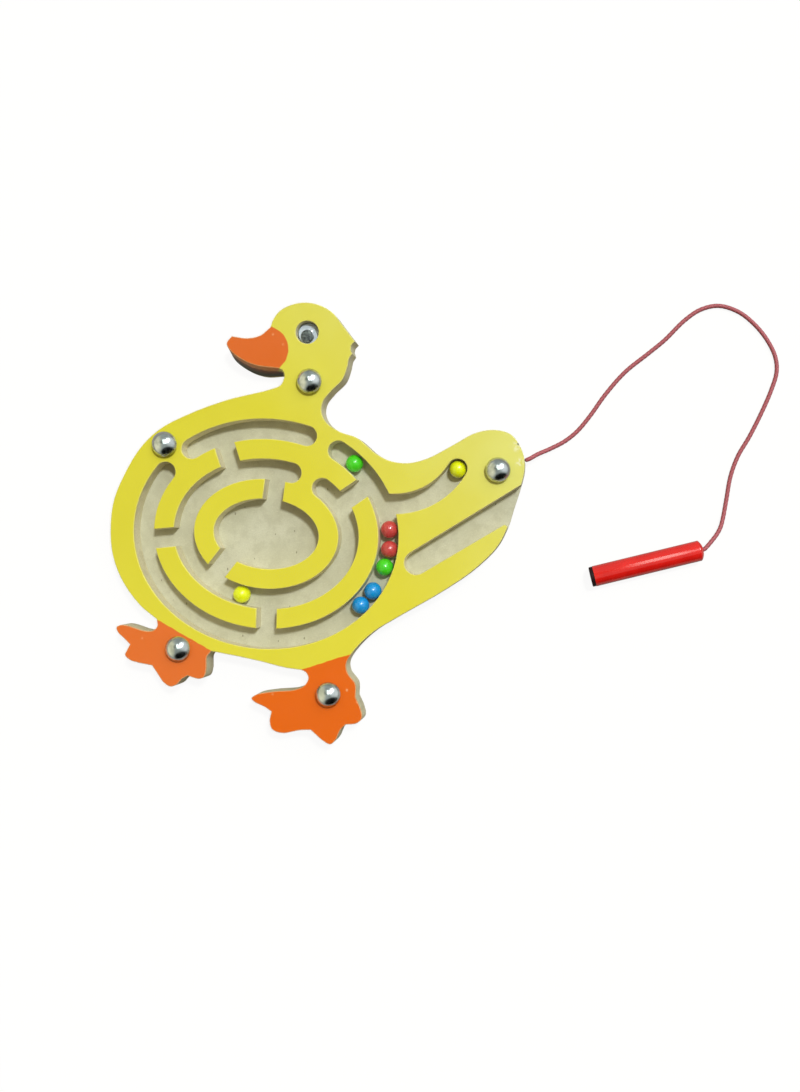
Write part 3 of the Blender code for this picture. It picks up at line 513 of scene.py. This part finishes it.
def wand_lacquer():
    """Gloss lacquer dipped over a turned stick: wet-looking, with low waves, dust and a sharp lamp streak."""
    made, tree, shader = new_material("dipped_red_lacquer", 0.16)
    point = object_point(tree)
    cloud = blotches(tree, point, 9.0, 0.35, 0.7)
    tone = {0: cloud, 6: linear("#EA2018"), 7: linear("#DC1812")}
    tone = add(tree, "Mix", tone, 2, data_type="RGBA")
    dust = blotches(tree, point, 0.5, 0.72, 0.78, 0.0, 0.4)
    tone = add(tree, "Mix", {0: dust, 6: tone, 7: linear("#F06A60")}, 2, data_type="RGBA")
    wave = add(tree, "TexNoise", {"Vector": point, "Scale": 1 / 2.2, "Detail": 1.0})
    finish_surface(tree, shader, tone, None, wave, 0.012)
    shader.inputs["Coat Weight"].default_value = 0.7
    shader.inputs["Coat Roughness"].default_value = 0.08
    return made


def sintered_ferrite():
    """Sintered ferrite, ground on its face: charcoal, dull and finely pitted."""
    made, tree, shader = new_material("sintered_ferrite", 0.6)
    shader.inputs["Specular IOR Level"].default_value = 0.2
    point = object_point(tree)
    grain = add(tree, "TexNoise", {"Vector": point, "Scale": 1 / 0.35, "Detail": 3.0})
    tone = {0: grain, 6: linear("#120608"), 7: linear("#2A1012")}
    tone = add(tree, "Mix", tone, 2, data_type="RGBA")
    finish_surface(tree, shader, tone, None, grain, 0.04)
    return made


def braided_polyester():
    """Round-braided polyester cord: fine silky yarns, with painted shade in the crossings."""
    made, tree, shader = new_material("braided_red_polyester", 0.6, ior=1.55)
    # Painted shade: the yarns darker where they sink into the crossings
    crossing_shade = add(tree, "Attribute", output="Fac", attribute_name="braid_height")
    tone = add(tree, "Mix", {0: crossing_shade, 6: linear("#6A222C"), 7: linear("#B95258")}, 2, data_type="RGBA")
    # Filaments, drawn at 0.25 mm
    fibre = add(tree, "TexNoise", {"Vector": object_point(tree), "Scale": 1 / 0.25, "Detail": 3.0})
    pale = add(tree, "Math", {0: fibre, 1: 0.3}, operation="MULTIPLY")
    tone = add(tree, "Mix", {0: pale, 6: tone, 7: linear("#CC8086")}, 2, data_type="RGBA")
    finish_surface(tree, shader, tone, None, fibre, 0.02)
    shader.inputs["Sheen Weight"].default_value = 0.2
    shader.inputs["Sheen Roughness"].default_value = 0.4
    return made


def white_paper():
    """A white paper sweep that keeps a pale shadow and looks white where nothing stands on it."""
    made, tree, shader = new_material("white_paper", 0.9)
    shader.inputs["Specular IOR Level"].default_value = 0.2
    glow = add(tree, "Emission", {"Color": linear("#FFFFFF"), "Strength": PAPER_GLOW})
    camera = add(tree, "LightPath", output="Is Camera Ray")
    rays = camera.node.outputs
    mirror = {0: rays["Is Glossy Ray"], 1: rays["Is Transmission Ray"]}
    mirror = add(tree, "Math", mirror, operation="MAXIMUM")
    # Metal shows the sheet's middle pale and its far parts in the room's shade
    away = add(tree, "VectorMath", {0: add(tree, "TexCoord", output="Object")}, "Value", operation="LENGTH")
    near = {"Value": away, "From Min": PAPER_FAR, "From Max": PAPER_NEAR, "To Max": PAPER_MIRRORED}
    mirror = add(tree, "Math", {0: mirror, 1: add(tree, "MapRange", near)}, operation="MULTIPLY")
    seen = add(tree, "Math", {0: camera, 1: mirror}, operation="MAXIMUM")
    paper = {0: seen, 6: linear("#6E6A5C"), 7: linear("#BDBAAE")}
    tree.links.new(add(tree, "Mix", paper, 2, data_type="RGBA"), shader.inputs["Base Color"])
    share = add(tree, "Math", {0: seen, 1: PAPER_SHARE}, operation="MULTIPLY")
    both = add(tree, "MixShader", {0: share, 1: shader.outputs[0], 2: glow})
    tree.links.new(both, tree.nodes["Material Output"].inputs["Surface"])
    return made


def show(name, data, body, finishes, stands_for):
    """A finished piece on its body, standing for the part's nodes."""
    piece = bpy.data.objects.new(name, data)
    bpy.context.collection.objects.link(piece)
    for finish in finishes:
        data.materials.append(finish)
    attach(piece, body)
    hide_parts(*stands_for)
    return piece


def mesh_of(name, shape, sharp=35, rim=()):
    """The mesh of a finished bmesh, smooth but for its real edges and the two sides of a rim."""
    rim = set(rim)
    limit = math.radians(sharp)
    for face in shape.faces:
        face.smooth = True
    for edge in shape.edges:
        on_rim = {face in rim for face in edge.link_faces}
        edge.smooth = edge.calc_face_angle(0.0) < limit and len(on_rim) == 1
    data = bpy.data.meshes.new(name)
    shape.to_mesh(data)
    shape.free()
    return data


def shape_of_node(node):
    """A merged copy of a node of the part, with its flat faces whole again."""
    shape = bmesh.new()
    shape.from_mesh(frame["nodes"][node].data)
    bmesh.ops.remove_doubles(shape, verts=shape.verts, dist=0.05 * MM)
    bmesh.ops.dissolve_degenerate(shape, edges=shape.edges, dist=0.001 * MM)
    bmesh.ops.dissolve_limit(shape, angle_limit=math.radians(0.5), verts=shape.verts, edges=shape.edges)
    shape.normal_update()
    return shape


def middle(node):
    """The middle of a node's box."""
    low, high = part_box(node)
    return (low + high) / 2


def at_height(verts, level):
    """The vertices that lie at one height."""
    return [v for v in verts if abs(v.co.z - level) < NEAR]


def rounded_rim(shape, level, radius):
    """Rounds the edge all round the flat face at a height, and gives the faces of the rounding."""
    level_faces = [f for f in shape.faces if abs(f.normal.z) > 0.99]
    flat = {f for f in level_faces if len(at_height(f.verts, level)) == len(f.verts)}
    edges = [e for e in shape.edges if len(flat.intersection(e.link_faces)) == 1]
    made = bmesh.ops.bevel(
        shape, geom=edges, offset=radius, offset_type="OFFSET", segments=3, profile=0.5, affect="EDGES",
        clamp_overlap=False, material=-1,
    )
    shape.normal_update()
    return made["faces"]


def turned(profile, sides=64):
    """A shape turned about the vertical from radius and height points, closed at its poles."""
    shape = bmesh.new()
    verts = [shape.verts.new((radius, 0.0, height)) for radius, height in profile]
    edges = [shape.edges.new((verts[i], verts[i + 1])) for i in range(len(verts) - 1)]
    if profile[0][0] > 0 and profile[-1][0] > 0:
        edges.append(shape.edges.new((verts[-1], verts[0])))
    bmesh.ops.spin(
        shape, geom=verts + edges, axis=(0, 0, 1), cent=(0, 0, 0), angle=2 * math.pi, steps=sides,
        use_merge=True,
    )
    bmesh.ops.remove_doubles(shape, verts=shape.verts, dist=0.001 * MM)
    bmesh.ops.recalc_face_normals(shape, faces=shape.faces)
    return shape


def arc(centre, radius, start, end, steps):
    """Points of radius and height along an arc, in degrees from level."""
    angles = [math.radians(start + (end - start) * i / steps) for i in range(steps + 1)]
    return [(centre[0] + radius * math.cos(a), centre[1] + radius * math.sin(a)) for a in angles]


def crown(radius, low, height, steps):
    """Points of a shallow dome from its rim to its top."""
    ball = (radius**2 + height**2) / (2 * height)
    start = 90 - math.degrees(math.asin(min(1.0, radius / ball)))
    return arc((0.0, low + height - ball), ball, start, 90, steps)


def centripetal(points, steps):
    """Points along a centripetal Catmull-Rom curve through the given ones."""
    given = [2 * points[0] - points[1], *points, 2 * points[-1] - points[-2]]
    curve = []
    for i in range(1, len(given) - 2):
        a, b, c, d = given[i - 1 : i + 3]
        knots = [0.0]
        for first, second in ((a, b), (b, c), (c, d)):
            knots.append(knots[-1] + math.sqrt((second - first).length))
        k0, k1, k2, k3 = knots
        for step in range(steps):
            t = k1 + (k2 - k1) * step / steps
            ab = (a * (k1 - t) + b * (t - k0)) / (k1 - k0)
            bc = (b * (k2 - t) + c * (t - k1)) / (k2 - k1)
            cd = (c * (k3 - t) + d * (t - k2)) / (k3 - k2)
            abc = (ab * (k2 - t) + bc * (t - k0)) / (k2 - k0)
            bcd = (bc * (k3 - t) + cd * (t - k1)) / (k3 - k1)
            curve.append((abc * (k2 - t) + bcd * (t - k1)) / (k2 - k1))
    return [*curve, given[-2]]


def evenly_spaced(line, step):
    """Points about that far apart along a line, and its length."""
    lengths = [0.0]
    for first, second in zip(line, line[1:]):
        lengths.append(lengths[-1] + (second - first).length)
    count = round(lengths[-1] / step)
    points = []
    span = 0
    for i in range(count + 1):
        wanted = lengths[-1] * i / count
        while span < len(line) - 2 and lengths[span + 1] < wanted:
            span += 1
        share = (wanted - lengths[span]) / (lengths[span + 1] - lengths[span])
        points.append(line[span].lerp(line[span + 1], share))
    return points, lengths[-1]


def wand_axis():
    """The middle of the wand and the direction from there to the cord."""
    roll = JOINTS["wand_roll"]
    return Vector(roll["pos_m"]), Vector(roll["axis"]).normalized()


def wand_half():
    """Half the tube's length, from the tube's box and its slant."""
    low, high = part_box("wand_tube")
    _, axis = wand_axis()
    return ((high.x - low.x) - 2 * WAND_RADIUS * abs(axis.y)) / 2 / axis.x


def make_camera():
    """The photograph's camera, straight above the table."""
    data = bpy.data.cameras.new("camera")
    data.sensor_width = SENSOR
    data.lens = LENS
    data.shift_x = CAMERA_SHIFT
    data.clip_start = 0.01
    data.clip_end = 20
    camera = bpy.data.objects.new("camera", data)
    camera.location = (*CAMERA_OVER, CAMERA_HEIGHT)
    bpy.context.collection.objects.link(camera)
    bpy.context.scene.camera = camera


def braid_height(turn, along):
    """How high the yarns stand at a place on the cord, from 0 in a crossing to 1."""
    right = BRAID_STRANDS * turn + 2 * math.pi * along / BRAID_PITCH
    left = BRAID_STRANDS * turn - 2 * math.pi * along / BRAID_PITCH
    over = 0.5 + 0.5 * math.tanh(3 * math.sin(right / 2) * math.sin(left / 2))
    return over * abs(math.cos(right / 2)) + (1 - over) * abs(math.cos(left / 2))


def braided(name, route):
    """A braided cord along a route, with round ends: its mesh, the points it follows and its length."""
    points, length = evenly_spaced(centripetal(route, CURVE_STEPS), BRAID_PITCH / RINGS_PER_PITCH)
    shape = bmesh.new()
    height_layer = shape.verts.layers.float.new("braid_height")
    side = Vector((0.0, 0.0, 1.0))
    rings = []
    for i, point in enumerate(points):
        along = (points[min(i + 1, len(points) - 1)] - points[max(i - 1, 0)]).normalized()
        side = (side - along * side.dot(along)).normalized()
        across = along.cross(side)
        reach = length * i / (len(points) - 1)
        from_end = min(1.0, (min(reach, length - reach) + CORD_TIP) / CORD_RADIUS)
        share = math.sqrt(1 - (1 - from_end) ** 2)
        ring = []
        for j in range(BRAID_SIDES):
            turn = 2 * math.pi * j / BRAID_SIDES
            height = braid_height(turn, reach)
            radius = (CORD_RADIUS - BRAID_RELIEF * (1 - height)) * share
            vert = shape.verts.new(point + (side * math.cos(turn) + across * math.sin(turn)) * radius)
            vert[height_layer] = height
            ring.append(vert)
        rings.append([shape.edges.new((ring[j - 1], ring[j])) for j in range(BRAID_SIDES)])
    for first, second in zip(rings, rings[1:]):
        bmesh.ops.bridge_loops(shape, edges=first + second)
    for end in (rings[0], rings[-1]):
        bmesh.ops.edgeloop_fill(shape, edges=end)
    bmesh.ops.recalc_face_normals(shape, faces=shape.faces)
    return mesh_of(name, shape, 80), points, length


def make_cord(polyester):
    """The free cord, from the tail's edge to inside the wand's plug: its piece, route, length and start."""
    exit_point = Vector(JOINTS["lead_swing"]["pos_m"])
    out = Vector((math.cos(CORD_EXIT_ANGLE), math.sin(CORD_EXIT_ANGLE), 0.0))
    centre, axis = wand_axis()
    face = wand_half() + GLUE_GAP + PLUG_CROWN
    straight = 2.4 * MM
    mouth = 1.3 * MM
    route = [exit_point, exit_point + out * straight, *[Vector(p) * MM for p in CORD_ROUTE]]
    route += [centre + axis * (face + step) for step in (-mouth, GLUE_GAP - CORD_IN_PLUG)]
    data, points, length = braided("braided_cord", route)
    return show("braided_cord", data, "lead", [polyester], ["cord"]), points, length, exit_point


def make_cord_loop(polyester):
    """The cord's start, looped round the tail's post inside the board."""
    exit_point = Vector(JOINTS["lead_swing"]["pos_m"])
    post = middle("post_tail")
    post.z = exit_point.z
    way_out = (exit_point - post).normalized()
    apart = 0.05 * MM
    route = [exit_point - way_out * apart]
    for reach, degrees in LOOP_ROUTE:
        route.append(post + Matrix.Rotation(math.radians(degrees), 3, "Z") @ way_out * reach * MM)
    data, _, _ = braided("cord_post_loop", route)
    show("cord_post_loop", data, "board", [polyester], ["cord_loop"])


def make_board(paint, worn_paint_and_painted_light, sanded, routed):
    """The back board, the maze plate and its loose walls, with their edges softened."""
    back = shape_of_node("base_board")
    rim = rounded_rim(back, 0.0, BACK_ROUND)
    # How much a face of each kind points up or down
    level = 0.99
    slope = (0.08, 0.9)
    back_face = 0.7
    for face in back.faces:
        face.material_index = 0 if abs(face.normal.z) > back_face else 1
    data = mesh_of("back_board", back, rim=rim)
    show("back_board", data, "board", [sanded, routed], ["base_board"])
    plates = {
        "maze_frame": "maze_plate",
        "wall_lower_left": "loose_wall_lower_left",
        "wall_lower_right": "loose_wall_lower_right",
        "wall_inner_left": "loose_wall_inner_left",
    }
    for node, piece in plates.items():
        shape = shape_of_node(node)
        for v in at_height(shape.verts, FLOOR_TOP + GLUE_GAP):
            v.co.z = FLOOR_TOP + GLUE
        rim = set(rounded_rim(shape, PAINT_TOP, PAINT_ROUND))
        # The rounded edge takes the paint with pale sealer and painted edge glint, and the slope under the
        # beak the paint that darkens into painted shade
        for face in shape.faces:
            painted = face.normal.z > level and face.calc_center_median().z > PAINT_TOP - NEAR
            sloping = slope[0] < face.normal.z < slope[1]
            face.material_index = 1 if face in rim or sloping else 0 if painted else 2
        data = mesh_of(piece, shape, rim=rim)
        show(piece, data, "board", [paint, worn_paint_and_painted_light, routed], [node])


def make_cover(acrylic):
    """The clear sheet, with its sawn edge polished."""
    shape = shape_of_node("clear_cover")
    for v in at_height(shape.verts, PAINT_TOP + GLUE_GAP):
        v.co.z = PAINT_TOP + GLUE
    rim = rounded_rim(shape, COVER_TOP, COVER_ROUND)
    data = mesh_of("clear_sheet", shape, 20, rim)
    show("clear_sheet", data, "board", [acrylic], ["clear_cover"])


def make_posts(chrome, zinc):
    """Dome-headed barrel nuts in front, and cross-head countersunk screws behind."""
    seat = COVER_TOP + GLUE
    rim = 0.35 * MM
    dome_low = seat + 1.4 * rim
    barrel = 2.5 * MM
    bore = 1.7 * MM
    bore_top = 10 * MM
    lead_in = 0.3 * MM
    for post in ("head", "shoulder", "tail", "left_foot", "right_foot"):
        place = middle(f"post_{post}")
        low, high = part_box(f"post_{post}")
        radius = (high.x - low.x) / 2
        profile = [(0.0, bore_top), (bore, bore_top), (bore, low.z + lead_in), (bore + lead_in, low.z)]
        profile += [(barrel, low.z), (barrel, seat), (radius - rim, seat)]
        profile += arc((radius - rim, seat + rim), rim, -90, 0, 4)[1:]
        profile += crown(radius, dome_low, high.z - dome_low, 22)
        shape = turned(profile)
        bmesh.ops.translate(shape, vec=(place.x, place.y, 0.0), verts=shape.verts)
        name = f"dome_nut_{post}"
        show(name, mesh_of(name, shape), "board", [chrome], [f"post_{post}"])
        make_screw(post, place, zinc)


def make_screw(post, place, zinc):
    """A cross-head screw, its threads as rings up the shank."""
    low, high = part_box(f"screw_{post}")
    head = (high.x - low.x) / 2
    brim = 0.12 * MM
    shank = 1.45 * MM
    root = 1.15 * MM
    pitch = 0.6 * MM
    neck = 2.0 * MM
    blade_size = (3.4 * MM, 0.7 * MM, 2.6 * MM)
    blade_taper = (0.35, 0.7, 1.0)
    driven_turn = 0.4
    profile = [(0.0, low.z), (head - brim, low.z), (head, low.z + brim), (shank, neck)]
    z = neck
    while z + pitch < high.z:
        profile += [(root, z + 0.3 * pitch), (root, z + 0.4 * pitch)]
        profile += [(shank, z + 0.85 * pitch), (shank, z + pitch)]
        z += pitch
    profile += [(root, high.z), (0.0, high.z)]
    blank = mesh_of(f"screw_blank_{post}", turned(profile, 40))
    cross = bmesh.new()
    for turn in (0.0, math.pi / 2):
        blade = bmesh.ops.create_cube(cross, size=1.0)["verts"]
        bmesh.ops.scale(cross, vec=blade_size, verts=blade)
        tip = [v for v in blade if v.co.z > 0]
        bmesh.ops.scale(cross, vec=blade_taper, verts=tip)
        bmesh.ops.rotate(cross, matrix=Matrix.Rotation(turn, 3, "Z"), verts=blade)
    bmesh.ops.rotate(cross, matrix=Matrix.Rotation(driven_turn, 3, "Z"), verts=cross.verts)
    bmesh.ops.translate(cross, vec=(0.0, 0.0, low.z), verts=cross.verts)
    name = f"cross_screw_{post}"
    data = carved(name, blank, mesh_of("cross", cross))
    data.transform(Matrix.Translation((place.x, place.y, 0.0)))
    show(name, data, "board", [zinc], [f"screw_{post}"])


def carved(name, body, cutter):
    """A mesh with another taken out of it."""
    keep = bpy.data.objects.new("keep", body)
    take = bpy.data.objects.new("take", cutter)
    for thing in (keep, take):
        bpy.context.collection.objects.link(thing)
    step = keep.modifiers.new("carve", "BOOLEAN")
    step.operation = "DIFFERENCE"
    step.solver = "EXACT"
    step.use_self = True
    step.object = take
    data = bpy.data.meshes.new_from_object(keep.evaluated_get(bpy.context.evaluated_depsgraph_get()))
    data.name = name
    for thing in (keep, take):
        bpy.data.objects.remove(thing)
    data.materials.clear()
    data.shade_smooth()
    data.set_sharp_from_angle(angle=math.radians(35))
    return data


def make_eye(white, dark, clear):
    """The loose eye: a white dish, a grey disc that slides in it, and a clear blister over them."""
    place = middle("eye_cup")
    low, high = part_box("eye_cup")
    radius = (high.x - low.x) / 2
    floor = low.z - GLUE_GAP + GLUE
    top = high.z
    lip = 0.35 * MM
    ease = 0.08 * MM
    dish = [(0.0, floor), (radius - ease, floor), (radius, floor + ease), (radius, top - ease)]
    dish += [(radius - ease, top), (radius - lip, top), (radius - lip - ease, top - ease), (0.0, top - ease)]
    shape = turned(dish)
    bmesh.ops.translate(shape, vec=(place.x, place.y, 0.0), verts=shape.verts)
    show("eye_dish", mesh_of("eye_dish", shape), "board", [white], ["eye_cup"])

    place = middle("eye_lens")
    low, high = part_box("eye_lens")
    seat = top + GLUE
    wall = 0.3 * MM
    rim_height = 0.5 * MM
    shoulder = low.z + rim_height
    outside = crown(radius, shoulder, high.z - shoulder, 14)
    inside = crown(radius - wall, shoulder, high.z - shoulder - wall, 14)
    shape = turned([*inside[::-1], (radius - wall, seat), (radius, seat), *outside])
    bmesh.ops.translate(shape, vec=(place.x, place.y, 0.0), verts=shape.verts)
    show("eye_blister", mesh_of("eye_blister", shape), "board", [clear], ["eye_lens"])

    place = middle("eye_pupil")
    low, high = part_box("eye_pupil")
    radius = (high.x - low.x) / 2
    under = top - ease + GLUE
    crown_low = high.z - 0.04 * MM
    swell = 0.12 * MM
    disc = [(0.0, under), (radius - ease, under), (radius, under + ease), (radius, high.z - 0.1 * MM)]
    disc += crown(radius - ease, crown_low, swell, 6)
    shape = turned(disc)
    bmesh.ops.translate(shape, vec=(place.x, place.y, 0.0), verts=shape.verts)
    show("eye_disc", mesh_of("eye_disc", shape), "pupil", [dark], ["eye_pupil"])


def make_balls(enamels):
    """The eight balls, each resting on the floor of its channel, with the drip where its paint dried."""
    drip_from = -0.985
    drip_keeps = (1.0, 1.0, 0.992)
    turn_each_metre = 400
    for node in frame["nodes"]:
        if not node.startswith("ball_"):
            continue
        _, colour, where = node.split("_")
        low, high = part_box(node)
        radius = (high.z - low.z) / 2
        place = middle(node)
        place.z = FLOOR_TOP + radius + GLUE
        shape = bmesh.new()
        bmesh.ops.create_icosphere(shape, subdivisions=5, radius=radius)
        drip = [v for v in shape.verts if v.co.z < drip_from * radius]
        bmesh.ops.scale(shape, vec=drip_keeps, verts=drip)
        turn = Matrix.Rotation(place.x * turn_each_metre, 3, (1, 1, 0))
        bmesh.ops.rotate(shape, matrix=turn, verts=shape.verts)
        bmesh.ops.translate(shape, vec=place, verts=shape.verts)
        name = f"{colour}_ball_{where}"
        body = f"{colour}_{where}_ball"
        show(name, mesh_of(name, shape), body, [enamels[colour]], [node])


def along_wand(shape):
    """Turns a shape made about the vertical onto the wand's axis, where up becomes towards the cord."""
    centre, axis = wand_axis()
    turn = Vector((0, 0, 1)).rotation_difference(axis).to_matrix()
    bmesh.ops.rotate(shape, matrix=turn, verts=shape.verts)
    bmesh.ops.translate(shape, vec=centre, verts=shape.verts)


def make_wand(lacquer, ferrite):
    """The lacquered tube, the magnet that fills its tip, and the plug that the cord goes into."""
    half = wand_half()
    tip_round = 0.2 * MM
    tail_round = 0.5 * MM
    tube = [(WAND_BORE, half), (WAND_BORE, -half)]
    tube += [(r, -z) for r, z in arc((WAND_RADIUS - tip_round, half - tip_round), tip_round, 90, 0, 4)]
    tube += arc((WAND_RADIUS - tail_round, half - tail_round), tail_round, 0, 90, 8)
    shape = turned(tube)
    along_wand(shape)
    show("wand_stick", mesh_of("wand_stick", shape), "wand", [lacquer], ["wand_tube"])

    stem = 2.2 * MM
    back = -half - GLUE
    ease = 0.35 * MM
    rim = (MAGNET_RADIUS - ease, half + MAGNET_THICK - ease)
    magnet = [(0.0, -half + STUB_LENGTH), (stem, -half + STUB_LENGTH), (stem, back)]
    magnet += [(MAGNET_RADIUS - 0.1 * MM, back), (MAGNET_RADIUS, back - 0.1 * MM)]
    magnet += [*[(r, -z) for r, z in arc(rim, ease, 0, 90, 5)], (0.0, -half - MAGNET_THICK)]
    shape = turned(magnet)
    along_wand(shape)
    show("wand_tip_magnet", mesh_of("wand_tip_magnet", shape), "wand", [ferrite], ["wand_magnet"])

    seat = half + GLUE
    brim = WAND_RADIUS - 0.3 * MM
    dome = [(r, z) for r, z in crown(brim, seat, PLUG_CROWN, 14) if r > CORD_HOLE + 0.25 * MM]
    mouth = dome[-1][1]
    floor = half + GLUE_GAP + PLUG_CROWN - CORD_IN_PLUG
    plug = [(0.0, half - STUB_LENGTH), (stem, half - STUB_LENGTH), (stem, seat), *dome]
    plug += [(CORD_HOLE + 0.1 * MM, mouth), (CORD_HOLE, mouth - 0.15 * MM), (CORD_HOLE, floor), (0.0, floor)]
    shape = turned(plug)
    along_wand(shape)
    data = mesh_of("wand_cord_plug", shape)
    return show("wand_cord_plug", data, "lead", [lacquer], ["wand_plug"])


def make_stage():
    """The white sweep that everything lies on."""
    shape = bmesh.new()
    bmesh.ops.create_grid(shape, x_segments=1, y_segments=1, size=4.0)
    bmesh.ops.translate(shape, vec=(0.0, 0.0, -0.05 * MM), verts=shape.verts)
    floor = bpy.data.objects.new("paper_sweep", mesh_of("paper_sweep", shape))
    floor.data.materials.append(white_paper())
    bpy.context.collection.objects.link(floor)


def toward(tree, heading, direction, inner, outer):
    """1 within a cone about a direction, falling to 0 at its outer angle, in degrees."""
    unit = Vector(direction).normalized()
    near = add(tree, "VectorMath", {0: heading, 1: unit}, "Value", operation="DOT_PRODUCT")
    rims = {"From Min": math.cos(math.radians(outer)), "From Max": math.cos(math.radians(inner))}
    return add(tree, "MapRange", {"Value": near, **rims}, interpolation_type="SMOOTHSTEP")


def zoned(tree, heading, colour, zones):
    """A colour all round that turns softly to another in each zone."""
    colour = linear(colour)
    for direction, inner, outer, tone in zones:
        share = toward(tree, heading, direction, inner, outer)
        colour = add(tree, "Mix", {0: share, 6: colour, 7: linear(tone)}, 2, data_type="RGBA")
    return colour


def make_lamp(name, direction, strength, angle):
    """A far lamp in that direction, as soft as its angle."""
    data = bpy.data.lights.new(name, "SUN")
    data.energy = strength
    data.color = LAMP_COLOUR
    data.angle = angle
    lamp = bpy.data.objects.new(name, data)
    lamp.rotation_mode = "QUATERNION"
    lamp.rotation_quaternion = direction.to_track_quat("Z", "Y")
    bpy.context.collection.objects.link(lamp)


def long_lamp(tree, heading, turn, sides, glow):
    """How much a long lamp overhead adds where a heading meets it, falling softly to 0 round it."""
    up = add(tree, "SeparateXYZ", {0: heading}, 2)
    up = add(tree, "Math", {0: up, 1: 0.05}, operation="MAXIMUM")
    lit = glow
    for side, (aim, reach) in enumerate(sides):
        way = (math.cos(turn + side * math.pi / 2), math.sin(turn + side * math.pi / 2), 0.0)
        slope = add(tree, "VectorMath", {0: heading, 1: way}, "Value", operation="DOT_PRODUCT")
        slope = add(tree, "Math", {0: slope, 1: up}, operation="DIVIDE")
        off = add(tree, "Math", {0: slope, 1: aim}, operation="SUBTRACT")
        off = add(tree, "Math", {0: off}, operation="ABSOLUTE")
        span = {"Value": off, "From Min": reach * 1.4, "From Max": reach * 0.6}
        within = add(tree, "MapRange", span, interpolation_type="SMOOTHSTEP")
        lit = add(tree, "Math", {0: within, 1: lit}, operation="MULTIPLY")
    return lit


def make_light():
    """A lamp high on the upper right, a wide one lower down, and a pale room that polished metal mirrors."""
    make_lamp("key", KEY_FROM, KEY_STRENGTH, KEY_ANGLE)
    make_lamp("side", SIDE_FROM, SIDE_STRENGTH, SIDE_ANGLE)
    world = bpy.data.worlds.new("studio")
    bpy.context.scene.world = world
    world.use_nodes = True
    tree = world.node_tree
    heading = add(tree, "TexCoord", output="Generated")
    daylight = zoned(tree, heading, DAYLIGHT, DAYLIGHT_ZONES)
    daylight = add(tree, "Background", {"Color": daylight, "Strength": SKY_STRENGTH})
    room = zoned(tree, heading, MIRRORED, MIRRORED_ZONES)
    glow = 1.0
    for turn, along, across, more in LONG_LAMPS:
        glow = add(tree, "Math", {0: long_lamp(tree, heading, turn, (along, across), more), 1: glow})
    mirrored = add(tree, "Background", {"Color": room, "Strength": glow})
    glossy = add(tree, "LightPath", output="Is Glossy Ray")
    either = add(tree, "MixShader", {0: glossy, 1: daylight, 2: mirrored})
    white = add(tree, "Background", {"Color": linear("#FFFFFF"), "Strength": 1.0})
    seen = add(tree, "MixShader", {0: glossy.node.outputs["Is Camera Ray"], 1: either, 2: white})
    tree.links.new(seen, tree.nodes["World Output"].inputs["Surface"])


def main():
    """Everything, the camera and the cord first."""
    bpy.context.scene.view_settings.view_transform = "Standard"
    make_camera()
    polyester = braided_polyester()
    cord, route, length, exit_point = make_cord(polyester)
    plug = make_wand(wand_lacquer(), sintered_ferrite())
    make_cord_loop(polyester)
    paint = sprayed_paint("sprayed_acrylic_enamel", 0.0)
    worn_paint_and_painted_light = sprayed_paint("rubbed_enamel_and_painted_light", RUBBED_AND_EDGE_GLINT)
    make_board(paint, worn_paint_and_painted_light, sanded_board(), routed_board())
    make_cover(clear_plastic("cast_acrylic", 0.02, 0.006))
    make_posts(
        plated_steel("chromed_steel", "#D6D9DA", 0.17, 0.25),
        plated_steel("zinc_plated_steel", "#C2C4C0", 0.22, 0.5),
    )
    make_eye(
        moulded_plastic("white_styrene", "#D8E2E8", "#C6D4DC", 0.3, 1.8),
        moulded_plastic("grey_styrene", "#5C6664", "#2E3434", 0.25, 0.8),
        clear_plastic("clear_styrene_blister", 0.12, 0.015),
    )
    make_balls(
        {
            "yellow": ball_enamel("yellow_ball_enamel", "#EEF800", "#D8E010"),
            "green": ball_enamel("green_ball_enamel", "#46DC18", "#36B41C"),
            "red": ball_enamel("red_ball_enamel", "#CC4440", "#A83432"),
            "blue": ball_enamel("blue_ball_enamel", "#0A96DC", "#1478BC"),
        }
    )
    make_stage()
    make_light()


main()
bpy.context.view_layer.update()
